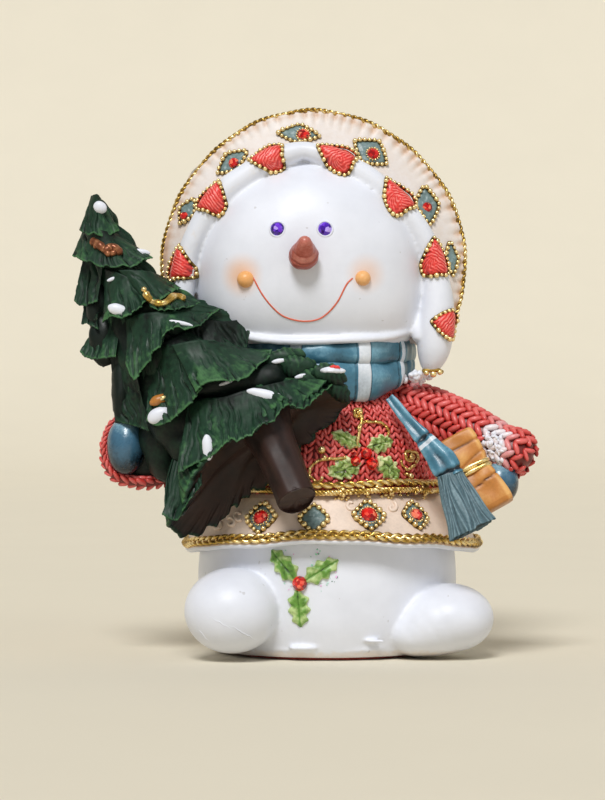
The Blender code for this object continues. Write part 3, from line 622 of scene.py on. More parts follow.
def fused(form, name, voxel, smoothing):
    """One soft skin over overlapping lumps."""
    obj = raw_object(name, np.vstack(form.points), form.faces)
    remesh = obj.modifiers.new("fuse", "REMESH")
    remesh.mode = "VOXEL"
    remesh.voxel_size = voxel * MM
    soften = obj.modifiers.new("soften", "SMOOTH")
    soften.factor = 0.6
    soften.iterations = smoothing
    return taken_mesh(obj)


def settle_fused(form, name, voxel, smoothing, rule, finish, nodes):
    """Fuse a form and finish it; the rule gives each place its tone."""
    obj = fused(form, name, voxel, smoothing)
    store(obj.data, "tone", rule(places_of(obj.data)))
    obj.data.materials.append(paint(finish))
    finish_piece(obj, SLOTS[finish], nodes)


# ---------------------------------------------------------------- node trees
class Wiring:
    """Adds nodes to a tree and joins them."""

    def __init__(self, tree):
        self.tree = tree

    def add(self, kind, inputs=None, **settings):
        """A node with its settings, and each input given a value or a socket to follow."""
        node = self.tree.nodes.new(kind)
        for key, value in settings.items():
            setattr(node, key, value)
        for key, value in (inputs or {}).items():
            if isinstance(value, bpy.types.NodeSocket):
                self.tree.links.new(value, node.inputs[key])
            else:
                node.inputs[key].default_value = value
        return node

    def maths(self, operation, a, b=0.0, c=0.0, clamp=False):
        """One sum."""
        kind = "ShaderNodeMath"
        return self.add(kind, {0: a, 1: b, 2: c}, operation=operation, use_clamp=clamp).outputs[0]

    def stored(self, name):
        """A direction or size stored on the points."""
        kind = "GeometryNodeInputNamedAttribute"
        return self.add(kind, {"Name": name}, data_type="FLOAT_VECTOR").outputs["Attribute"]

    def painted_in(self, name):
        """A number stored on the points, as a material reads it."""
        return self.add("ShaderNodeAttribute", attribute_name=name).outputs["Fac"]

    def ranged(self, value, low, high, to_low=0.0, to_high=1.0, kind="LINEAR"):
        """A value between two limits, spread over two others."""
        return self.add("ShaderNodeMapRange", {"Value": value, 1: low, 2: high, 3: to_low, 4: to_high},
                        interpolation_type=kind).outputs[0]

    def shade(self, colour, **inputs):
        """Give the shader its colour and its settings, named as its inputs are but in small letters."""
        shader = self.tree.nodes["Principled BSDF"]
        self.tree.links.new(colour, shader.inputs["Base Color"])
        for key, value in inputs.items():
            shader.inputs[key.replace("_", " ").title().replace("Ior", "IOR")].default_value = value

    def vector(self, operation, a, b=(0, 0, 0), scale=1.0):
        """One vector sum."""
        node = self.add("ShaderNodeVectorMath", {0: a, 1: b, 3: scale}, operation=operation)
        return node.outputs["Value" if operation in ("LENGTH", "DISTANCE", "DOT_PRODUCT") else "Vector"]


def socket_id(tree, label):
    """The identifier behind an input's name."""
    return next(i.identifier for i in tree.interface.items_tree if i.name == label and i.in_out == "INPUT")


def new_tree(name, inputs):
    """A geometry tree with these named inputs and one geometry output."""
    tree = bpy.data.node_groups.new(name, "GeometryNodeTree")
    for label, kind in inputs.items():
        tree.interface.new_socket(name=label, in_out="INPUT", socket_type="NodeSocket" + kind)
    tree.interface.new_socket(name="Geometry", in_out="OUTPUT", socket_type="NodeSocketGeometry")
    return tree, Wiring(tree), tree.nodes.new("NodeGroupInput").outputs


def close_tree(wiring, geometry, finish):
    """Make the result real, paint it and send it out."""
    real = wiring.add("GeometryNodeRealizeInstances", {"Geometry": geometry}).outputs["Geometry"]
    painted_up = wiring.add("GeometryNodeSetMaterial",
                            {"Geometry": real, "Material": finish}).outputs["Geometry"]
    wiring.tree.links.new(painted_up, wiring.tree.nodes.new("NodeGroupOutput").inputs["Geometry"])


def placing_tree():
    """Sets one small shape on every point, turned and sized by the point's own attributes."""
    tree, w, given = new_tree("set small shapes", {
        "Points": "Geometry", "Shape": "Object", "Scale": "Float", "Unevenness": "Float", "Seed": "Int",
        "Finish": "Material"})
    shape = w.add("GeometryNodeObjectInfo", {"Object": given["Shape"]}).outputs["Geometry"]
    read = {name: w.stored(name) for name in ("aim", "out", "size")}
    upright = w.add("FunctionNodeAlignRotationToVector", {"Vector": read["out"]}, axis="Z").outputs[0]
    aimed = w.add("FunctionNodeAlignRotationToVector", {"Rotation": upright, "Vector": read["aim"]}, axis="X",
                  pivot_axis="Z").outputs[0]
    low = w.maths("SUBTRACT", 1.0, given["Unevenness"])
    high = w.maths("ADD", 1.0, given["Unevenness"])
    chance = w.add("FunctionNodeRandomValue", {2: low, 3: high, "Seed": given["Seed"]},
                   data_type="FLOAT").outputs[1]
    sized = w.vector("SCALE", read["size"], scale=w.maths("MULTIPLY", chance, given["Scale"]))
    placed = w.add("GeometryNodeInstanceOnPoints", {
        "Points": given["Points"], "Instance": shape, "Rotation": aimed, "Scale": sized}).outputs["Instances"]
    close_tree(w, placed, given["Finish"])
    return tree


def cord_tree():
    """Lays twisted or plaited strands along a path whose points say which way is out."""
    tree, w, given = new_tree("twist a cord", {
        "Path": "Geometry", "Strands": "Int", "Strand Radius": "Float", "Half Width": "Float",
        "Half Height": "Float", "Pitch": "Float", "Plaited": "Float", "Step": "Float", "Finish": "Material"})
    curve = w.add("GeometryNodeMeshToCurve", {"Mesh": given["Path"]}).outputs["Curve"]
    fine = w.add("GeometryNodeResampleCurve", {"Curve": curve, "Length": given["Step"]}, mode="LENGTH")
    copies = w.add("GeometryNodeDuplicateElements", {"Geometry": fine.outputs[0], "Amount": given["Strands"]},
                   domain="SPLINE")
    order = w.maths("DIVIDE", copies.outputs["Duplicate Index"], given["Strands"])
    length = w.add("GeometryNodeSplineParameter").outputs["Length"]
    turns = w.maths("ADD", w.maths("DIVIDE", length, given["Pitch"]), order)
    angle = w.maths("MULTIPLY", turns, math.tau)
    out = w.stored("out")
    tangent = w.add("GeometryNodeInputTangent").outputs[0]
    side = w.vector("NORMALIZE", w.vector("CROSS_PRODUCT", tangent, out))
    double = w.maths("SINE", w.maths("MULTIPLY", angle, 2.0))
    single = w.maths("COSINE", angle)
    rise = w.add("ShaderNodeMix", {"Factor": given["Plaited"], "A": single, "B": double}).outputs[0]
    sway = w.vector("SCALE", side, scale=w.maths("MULTIPLY", w.maths("SINE", angle), given["Half Width"]))
    lift = w.vector("SCALE", out, scale=w.maths("MULTIPLY", rise, given["Half Height"]))
    moved = w.add("GeometryNodeSetPosition", {"Geometry": copies.outputs["Geometry"],
                                              "Offset": w.vector("ADD", sway, lift)}).outputs["Geometry"]
    # Painted highlight on the crest of each strand and painted shade where it dips.
    light = w.maths("MULTIPLY_ADD", rise, 0.28, 0.52)
    toned = w.add("GeometryNodeStoreNamedAttribute", {"Geometry": moved, "Name": "tone", "Value": light},
                  data_type="FLOAT", domain="POINT").outputs["Geometry"]
    ring = w.add("GeometryNodeCurvePrimitiveCircle", {"Resolution": 7, "Radius": given["Strand Radius"]})
    strands = w.add("GeometryNodeCurveToMesh", {"Curve": toned, "Profile Curve": ring.outputs["Curve"],
                                                "Fill Caps": True}).outputs["Mesh"]
    close_tree(w, strands, given["Finish"])
    return tree


def run_tree(obj, tree, values):
    """Apply a geometry tree to an object with these named inputs."""
    modifier = obj.modifiers.new(tree.name, "NODES")
    modifier.node_group = tree
    for label, value in values.items():
        modifier[socket_id(tree, label)] = value
    return taken_mesh(obj)


class Placing:
    """Points where one small shape is repeated."""

    def __init__(self):
        self.rows = []

    def put(self, place, aim, out, size, lot=0.5, frost=0.0):
        """One more shape: its long side follows aim, its top faces out, size is in millimetres."""
        size = (size,) * 3 if np.ndim(size) == 0 else size
        self.rows.append((*place, *aim, *out, *size, lot, frost))

    def grow(self, name, shape, finish, nodes=(), unevenness=0.06, seed=1, smooth=True):
        """Set the shape on every point and finish the piece."""
        rows = np.array(self.rows)
        obj = raw_object(name, rows[:, :3], [])
        for key, values in (("aim", rows[:, 3:6]), ("out", rows[:, 6:9]), ("size", rows[:, 9:12] * MM),
                            ("lot", rows[:, 12]), ("frost", rows[:, 13])):
            store(obj.data, key, values)
        tree = bpy.data.node_groups.get("set small shapes") or placing_tree()
        run_tree(obj, tree, {"Shape": shape, "Scale": 1.0, "Unevenness": unevenness, "Seed": seed,
                             "Finish": paint(finish)})
        bpy.data.objects.remove(shape, do_unlink=True)
        finish_piece(obj, SLOTS[finish], nodes, smooth)


def template(name, form):
    """A small shape of size one, to be repeated."""
    obj = linked(name, np.vstack(form.points).tolist(), [], form.faces, True)
    store(obj.data, "tone", np.concatenate(form.tones))
    return obj


def bead_shape():
    """A bead of radius one, with a painted highlight on its top and painted shade where it meets the surface."""
    form = Form()
    form.ball((0, 0, 0), (1, 1, 1), 5, 8)
    # Tone rises from bottom to top: painted shade below, painted highlight above.
    form.tones = [np.clip(0.5 + 0.4 * np.vstack(form.points)[:, 2], 0, 1)]
    return template("bead shape", form)


def stitch_shape():
    """One leg of a knitted stitch: long along x, plump along z, with painted shade where it sinks in and a painted
    highlight on its top.
    """
    form = Form()
    rings = []
    a = circle(7)
    for x in (-0.97, -0.65, 0.0, 0.65, 0.97):
        r = math.sqrt(max(0.05, 1 - abs(x) ** 2.6))
        rings.append(np.stack([np.full(7, x), r * np.cos(a), r * np.sin(a)], -1))
    rings = np.array(rings)
    # Tone rises toward the top: painted shade on the sunken side, painted highlight on top.
    form.skin(rings, 0.42 + 0.42 * rings[..., 2])
    return template("stitch shape", form)


def fleck_shape():
    """A square fleck of glitter."""
    form = Form()
    form.add([(-1, -1, 0), (1, -1, 0), (1, 1, 0), (-1, 1, 0), (0, 0, 0.35), (0, 0, -0.35)],
             [(0, 1, 4), (1, 2, 4), (2, 3, 4), (3, 0, 4), (1, 0, 5), (2, 1, 5), (3, 2, 5), (0, 3, 5)])
    return template("fleck shape", form)


def cord(name, path, out, nodes=(), strands=3, strand=0.4, width=0.5, height=0.5, pitch=4.5, plaited=0.0,
         step=0.28, loop=False):
    """A twisted or plaited gold cord along a path, in millimetres."""
    count = len(path)
    edges = [(i, i + 1) for i in range(count - 1)] + ([(count - 1, 0)] if loop else [])
    obj = raw_object(name, path, [], edges)
    store(obj.data, "out", np.broadcast_to(unit(out), (count, 3)))
    total = run_along(np.vstack([path, path[:1]]) if loop else path)[-1]
    exact = total / max(1, round(total / pitch))
    tree = bpy.data.node_groups.get("twist a cord") or cord_tree()
    run_tree(obj, tree, {"Strands": strands, "Strand Radius": strand * MM, "Half Width": width * MM,
                         "Half Height": height * MM, "Pitch": exact * MM, "Plaited": plaited,
                         "Step": step * MM,
                         "Finish": paint("gold")})
    finish_piece(obj, SLOTS["gold"], nodes)


# ---------------------------------------------------------------- paints
def noise_at(w, place, size, detail=3.0, rough=0.55):
    """Noise with lumps of this size in millimetres."""
    return w.add("ShaderNodeTexNoise", {"Vector": place, "Scale": 1 / (size * MM), "Detail": detail,
                                        "Roughness": rough}).outputs[0]


def ramp(w, fac, stops):
    """A colour ramp from (position, colour) stops."""
    node = w.add("ShaderNodeValToRGB", {"Fac": fac})
    elements = node.color_ramp.elements
    while len(elements) < len(stops):
        elements.new(0.5)
    for element, (at, value) in zip(elements, stops):
        element.position = at
        element.color = (*value, 1.0)
    return node.outputs["Color"]


def mixed(w, fac, a, b):
    """One colour over another."""
    node = w.add("ShaderNodeMix", {0: fac, 6: a if isinstance(a, bpy.types.NodeSocket) else (*a, 1.0),
                                   7: b if isinstance(b, bpy.types.NodeSocket) else (*b, 1.0)},
                 data_type="RGBA")
    return node.outputs[2]


def tint(value, factor, lift=0.0):
    """A darker or lighter version of a colour."""
    return tuple(min(1.0, c * factor + lift) for c in value)


def opened(name):
    """A new material, its wiring and its object coordinates."""
    made = bpy.data.materials.new(name)
    made.use_nodes = True
    w = Wiring(made.node_tree)
    return made, w, w.add("ShaderNodeTexCoord").outputs["Object"]


def tone_mix(w, place, fine_size, fine, broad_size, broad):
    """The sculpted tone, made uneven by a fine and a broad noise."""
    tone = w.painted_in("tone")
    small = w.maths("MULTIPLY_ADD", noise_at(w, place, fine_size, 4.0), fine, -fine / 2)
    large = w.maths("MULTIPLY_ADD", noise_at(w, place, broad_size, 2.0), broad, -broad / 2)
    return w.maths("ADD", w.maths("ADD", tone, small), large, clamp=True)


def roughened(w, place, size, low, high, bump_size, bump):
    """Uneven gloss and a fine relief."""
    shader = w.tree.nodes["Principled BSDF"]
    patch = noise_at(w, place, size, 2.0)
    spread = w.ranged(patch, 0.3, 0.7, low, high)
    w.tree.links.new(spread, shader.inputs["Roughness"])
    relief = w.add("ShaderNodeBump", {"Height": noise_at(w, place, bump_size, 4.0), "Strength": bump,
                                      "Distance": 0.1 * MM}).outputs[0]
    w.tree.links.new(relief, shader.inputs["Normal"])


def painted(name, dark, base, light, fine=0.25, broad=0.25, gloss=(0.3, 0.5), bump=0.35, metallic=0.0,
            coat=0.0,
            fine_size=0.6, broad_size=5.0, lot=0.0, frost=False, shine=0.5):
    """Paint over sculpted resin: dark in the hollows, a wash and painted shade, and light on the ridges, drybrush and
    painted highlight.
    """
    made, w, place = opened(name)
    tone = tone_mix(w, place, fine_size, fine, broad_size, broad)
    if lot:
        each = w.painted_in("lot")
        tone = w.maths("ADD", tone, w.maths("MULTIPLY_ADD", each, lot, -lot / 2), clamp=True)
    paint = ramp(w, tone, ((0.08, dark), (0.30, tint(base, 0.72)), (0.52, base), (0.82, light)))
    if frost:
        rime = w.painted_in("frost")
        patchy = w.maths("MULTIPLY", rime, w.maths("MULTIPLY_ADD", noise_at(w, place, 1.0), 1.8, 0.35),
                         clamp=True)
        paint = mixed(w, patchy, paint, (0.84, 0.78, 0.80))
    w.shade(paint, metallic=metallic, coat_weight=coat, coat_roughness=0.12, specular_ior_level=shine)
    roughened(w, place, broad_size, *gloss, fine_size * 0.8, bump)
    return made


def snow_paint(name, base, blush=()):
    """Satin white over resin: faint brushed lumps, warm stains and painted shade where the tone is low, whiter paint
    and painted highlight where it is high, airbrushed blush.
    """
    made, w, place = opened(name)
    cloudy = noise_at(w, place, 9.0, 3.0)
    paint = ramp(w, cloudy, ((0.30, tint(base, 0.95)), (0.62, tint(base, 1.0, 0.02))))
    tone = tone_mix(w, place, 0.8, 0.25, 3.0, 0.25)
    # Warm cream where the tone is low: real stains and painted shade in creases and under edges.
    stain_and_shade = w.ranged(tone, 0.36, 0.05, 0.0, 0.85)
    paint = mixed(w, stain_and_shade, paint, (0.80, 0.66, 0.52))
    # Near-white where the tone is high: whiter paint and painted highlight.
    bright = w.ranged(tone, 0.62, 0.95, 0.0, 0.8)
    paint = mixed(w, bright, paint, (0.93, 0.94, 0.97))
    specks = w.add("ShaderNodeTexNoise", {"Vector": place, "Scale": 700.0, "Detail": 1.0}).outputs[0]
    dots = w.ranged(specks, 0.765, 0.80, 0.0, 0.45)
    paint = mixed(w, dots, paint, (0.45, 0.42, 0.42))
    for centre, tones in blush:
        away = w.vector("DISTANCE", place, tuple((np.array(centre) + SHIFT) * MM))
        soft = w.maths("ADD", away, w.maths("MULTIPLY_ADD", cloudy, 0.8 * MM, -0.4 * MM))
        strength = w.ranged(soft, 5.9 * MM, 1.2 * MM, 0.0, 0.72, "SMOOTHSTEP")
        paint = mixed(w, strength, paint, tones)
    w.shade(paint)
    roughened(w, place, 6.0, 0.36, 0.50, 1.1, 0.22)
    return made


def cap_paint(name, base):
    """White at the front of the cap, with warm painted shade and a brown stain by tone; beige with a small sprigged
    pattern behind.
    """
    made, w, place = opened(name)
    tone = tone_mix(w, place, 0.9, 0.2, 4.0, 0.3)
    front = ramp(w, tone, ((0.05, (0.36, 0.22, 0.13)), (0.28, (0.66, 0.46, 0.33)), (0.5, base),
                           (0.8, (0.86, 0.84, 0.84))))
    dots = w.add("ShaderNodeTexVoronoi", {"Vector": place, "Scale": 1 / (2.3 * MM), "Randomness": 0.75})
    sprig = ramp(w, dots.outputs["Color"], ((0.30, (0.72, 0.12, 0.12)), (0.48, (0.10, 0.30, 0.30)),
                                            (0.66, (0.70, 0.30, 0.28)), (0.8, (0.55, 0.36, 0.12))))
    inside = w.ranged(dots.outputs["Distance"], 0.34, 0.42, 1.0, 0.0)
    back = mixed(w, w.maths("MULTIPLY", inside, 0.75), (0.66, 0.52, 0.42), sprig)
    depth = w.add("ShaderNodeSeparateXYZ", {0: place}).outputs["Y"]
    rim = CAP_RIM_Y + SHIFT[1]
    behind = w.ranged(depth, (rim + 0.2) * MM, (rim + 0.7) * MM)
    w.shade(mixed(w, behind, front, back))
    roughened(w, place, 5.0, 0.42, 0.58, 0.9, 0.3)
    return made


def stone_paint(name, deep, bright, painted_glint):
    """A foil-backed glass stone: each facet-sized cell gets its own colour from dark to a bright glint, painted
    reflections.
    """
    made, w, place = opened(name)
    cells = w.add("ShaderNodeTexVoronoi", {"Vector": place, "Scale": 1 / (0.75 * MM), "Randomness": 1.0})
    shade = w.add("ShaderNodeSeparateColor", {0: cells.outputs["Color"]}).outputs[0]
    paint = ramp(w, shade, ((0.1, tint(deep, 0.35)), (0.42, deep), (0.72, bright), (0.93, painted_glint)))
    w.shade(paint, roughness=0.06, specular_ior_level=0.5, coat_weight=0.35, coat_roughness=0.03)
    return made


def felt_paint(name, base):
    """Pressed felt with short fibres."""
    made, w, place = opened(name)
    fibres = noise_at(w, place, 0.35, 6.0, 0.7)
    w.shade(ramp(w, fibres, ((0.3, tint(base, 0.45)), (0.7, tint(base, 1.3)))), sheen_weight=0.4)
    roughened(w, place, 2.0, 0.9, 1.0, 0.2, 0.9)
    return made


def stage_paint(name, base):
    """Plain matt paper."""
    made, w, place = opened(name)
    grain = noise_at(w, place, 60.0, 3.0)
    w.shade(ramp(w, grain, ((0.3, tint(base, 0.985)), (0.7, tint(base, 1.0)))), roughness=0.9,
            specular_ior_level=0.1)
    return made


# Sculpted paints: hollow (a wash and painted shade), base and ridge (drybrush and painted highlight), how uneven
# finely and broadly, then what differs.
# A word for the base names one of the colours a user can change.
WASHED = {
    "cream": ((0.42, 0.22, 0.13), "cream", (1.06, 0.03), 0.2, 0.3, {}),
    "knit": ((0.10, 0.008, 0.006), "knit", (1.15, 0.10), 0.35, 0.3,
             {"gloss": (0.34, 0.5), "lot": 0.22, "frost": True, "coat": 0.15}),
    "gold": ((0.040, 0.022, 0.006), "gold", (1.0, 0.80, 0.40), 0.45, 0.35,
             {"gloss": (0.2, 0.36), "metallic": 0.8, "fine_size": 0.4}),
    "coral": ((0.22, 0.012, 0.01), "coral", (1.0, 0.33, 0.29), 0.35, 0.2, {"gloss": (0.25, 0.4)}),
    "slate": ((0.03, 0.06, 0.06), "slate", (0.30, 0.40, 0.40), 0.6, 0.3, {"gloss": (0.3, 0.45)}),
    "scarf": ((0.006, 0.016, 0.026), "scarf", (0.22, 0.44, 0.56), 0.35, 0.4,
              {"gloss": (0.28, 0.45), "coat": 0.12, "broad_size": 4.0}),
    "fringe": ((0.012, 0.022, 0.028), (0.085, 0.155, 0.185), (0.24, 0.36, 0.40), 0.4, 0.3,
               {"gloss": (0.4, 0.6)}),
    "stripe": ((0.14, 0.22, 0.28), (0.62, 0.69, 0.76), (0.84, 0.88, 0.93), 0.4, 0.4, {}),
    "mitten": ((0.006, 0.012, 0.020), "mitten", (0.30, 0.50, 0.60), 0.3, 0.3,
               {"gloss": (0.2, 0.35), "coat": 0.3}),
    "carrot": ((0.09, 0.035, 0.028), "carrot", (0.66, 0.26, 0.20), 0.4, 0.3,
               {"gloss": (0.28, 0.42), "coat": 0.2}),
    "peach": ((0.45, 0.20, 0.08), "peach", (0.93, 0.60, 0.30), 0.2, 0.3, {}),
    "smile": ((0.45, 0.06, 0.03), (0.72, 0.14, 0.07), (0.85, 0.30, 0.20), 0.3, 0.2, {}),
    "fir": ((0.0035, 0.009, 0.006), "fir", (0.055, 0.155, 0.055), 0.45, 0.5,
            {"gloss": (0.40, 0.68), "shine": 0.28, "fine_size": 0.9, "broad_size": 7.0}),
    "bark": ((0.008, 0.004, 0.003), "bark", (0.11, 0.055, 0.035), 0.3, 0.4,
             {"gloss": (0.42, 0.6), "shine": 0.35, "fine_size": 1.4, "bump": 0.2}),
    "copper": ((0.05, 0.015, 0.008), (0.26, 0.085, 0.035), (0.50, 0.22, 0.10), 0.3, 0.3,
               {"gloss": (0.25, 0.4), "metallic": 0.5}),
    "wrapping": ((0.12, 0.035, 0.008), "wrapping", (0.80, 0.44, 0.14), 0.25, 0.4,
                 {"gloss": (0.35, 0.5), "broad_size": 6.0}),
    "holly": ((0.02, 0.06, 0.012), "holly", (0.50, 0.64, 0.26), 0.5, 0.5, {"broad_size": 2.2}),
    "pale holly": ((0.05, 0.08, 0.012), (0.24, 0.36, 0.075), (0.76, 0.80, 0.42), 0.5, 0.5,
                   {"broad_size": 2.0}),
}
# The record's slot for each paint
SLOTS = {"snow": "snow paint", "face": "snow paint", "cream": "cream paint", "cap": "bonnet paint",
         "knit": "red knit paint", "knit ground": "red knit paint", "gold": "gold paint",
         "coral": "coral paint",
         "slate": "grey blue paint", "scarf": "scarf paint", "fringe": "scarf paint",
         "mitten": "mitten paint",
         "carrot": "carrot paint", "smile": "carrot paint", "peach": "peach paint", "fir": "fir paint",
         "bark": "trunk paint", "copper": "trunk paint", "wrapping": "orange wrapping",
         "holly": "holly paint",
         "pale holly": "holly paint", "glitter": "holly paint", "ruby": "red stone", "violet": "violet stone",
         "felt": "red felt"}
PAINTS = {}


def washed(label, name):
    """A paint of the table; two numbers for its ridge are a factor and a lift of its base."""
    dark, base, light, fine, broad, more = WASHED[name]
    if isinstance(base, str):
        base = getattr(bpy.context.scene.snowman_colours, base)
    light = tint(base, *light) if len(light) == 2 else light
    return painted(label, dark, base, light, fine, broad, **more)


def paint(name):
    """The finish of this name, made on first use."""
    if name in PAINTS:
        return PAINTS[name]
    c = bpy.context.scene.snowman_colours
    label = f"{name} finish"
    if name in WASHED:
        made = washed(label, name)
    # The dark ground shows between the stitches: painted shade in their gaps.
    elif name == "knit ground":
        made = painted(label, (0.03, 0.002, 0.002), tint(c.knit, 0.35), tint(c.knit, 0.8), 0.3, 0.3)
    elif name == "snow":
        made = snow_paint(label, c.snow)
    elif name == "face":
        made = snow_paint(label, c.snow, [((x - 0.2, -19.0, z + 0.9), tuple(c.peach)) for x, z, _ in CHEEKS])
    elif name == "cap":
        made = cap_paint(label, (0.78, 0.70, 0.64))
    # Stones and glitter: colours from dark to a bright glint, painted reflections.
    elif name == "glitter":
        made = stone_paint(label, (0.35, 0.75, 0.55), (0.75, 0.92, 0.88), (0.9, 0.5, 0.8))
    elif name == "ruby":
        made = stone_paint(label, c.ruby, (0.90, 0.03, 0.02), (1.0, 0.24, 0.13))
    elif name == "violet":
        made = stone_paint(label, c.violet, (0.20, 0.05, 0.80), (0.55, 0.40, 1.0))
    elif name == "felt":
        made = felt_paint(label, (0.52, 0.07, 0.045))
    else:
        made = stage_paint(label, c.stage)
    PAINTS[name] = made
    return made


def sizes():
    """The sizes a user may have changed, in millimetres."""
    group = bpy.context.scene.snowman_sizes
    return {key: getattr(group, key) / MM for key in SnowmanSizes.__annotations__}


# ---------------------------------------------------------------- snow body, face and cap
def head_front(x, z):
    """How far forward the face lies at this place."""
    dx = abs(x - HEAD_CENTRE[0]) / HEAD_HALF[0]
    dz = (z - HEAD_CENTRE[2]) / (HEAD_HALF[2] if z > HEAD_CENTRE[2] else HEAD_DOWN)
    power = 2.0 if dz > 0 else 3.0
    reach = (dx ** power + abs(dz) ** power) ** (1 / power)
    return HEAD_CENTRE[1] - HEAD_HALF[1] * max(0.0, 1 - reach ** HEAD_FULLNESS) ** (1 / HEAD_FULLNESS)


def level_rings(profile, count):
    """Ellipses stacked upward from (height, half width, half depth)."""
    a = circle(count)
    profile = np.asarray(profile)
    x = BODY_X + profile[:, 1, None] * np.cos(a)
    return np.stack([x, profile[:, 2, None] * np.sin(a), np.broadcast_to(profile[:, :1], x.shape)], -1)


class SNOWMAN_OT_snow_body(bpy.types.Operator):
    """Shape the snow body, its ball feet and the casting marks at its base"""
    bl_idname = "snowman.snow_body"
    bl_label = "Snow body"

    def execute(self, context):
        form = Form()
        form.skin(level_rings(smooth_path(BODY_PROFILE, 40), 110))
        for centre, radii, rows, columns in LUMPS:
            form.ball(centre, radii, rows, columns)
        a = circle(160)
        flash = np.stack([BODY_X + 25.2 * np.cos(a), 22.2 * np.sin(a), 2.5 + 0.25 * np.sin(5 * a)], -1)
        form.tube(flash, 0.5 + 0.2 * np.sin(9 * a), 8, loop=True, towards=UP)
        # Darker at the very foot, and painted shade just under the hem.
        settle_fused(form, "snow_body_skin", FUSE_VOXEL, 3,
                     lambda p: 0.52 - 0.32 * bump(p[:, 2], 1.2, 1.3) - 0.10 * bump(p[:, 2], 25.5, 2.0),
                     "snow", ("snow_body",))
        self.casting_marks()
        felt = Form()
        a = circle(260)
        wobble = 1 + 0.006 * np.sin(9 * a) + 0.004 * np.sin(31 * a)
        felt.skin([np.stack([FELT_MIDDLE[0] + FELT_HALF[0] * s * wobble * np.cos(a),
                             FELT_MIDDLE[1] + FELT_HALF[1] * s * wobble * np.sin(a), np.full(len(a), z)], -1)
                   for s, z in ((0.96, 0.0), (0.995, 0.12), (1.0, 0.45), (0.99, 0.82), (0.95, 0.95))])
        settle(felt, "felt_sole", "felt", ("felt_pad",))
        return {"FINISHED"}

    def casting_marks(self):
        """The fine raised seam that the mould left across the left foot."""
        skin = Skin("snow_body_skin")
        form = Form()
        for start, end, thick in (((-19.5, 10.2), (-14.6, 7.4), 0.10), ((-15.2, 8.4), (-9.6, 4.9), 0.13),
                                  ((-21.8, 7.2), (-19.6, 4.6), 0.12)):
            line = np.linspace(start, end, 26)
            line[:, 1] += [0.25 * noise_of(x * 1.3, 0, 4.0) for x in line[:, 0]]
            form.tube(skin.trace(line), thick * np.sin(np.linspace(0.15, math.pi - 0.15, 26)), 6)
        settle(form, "casting_seam", "snow")


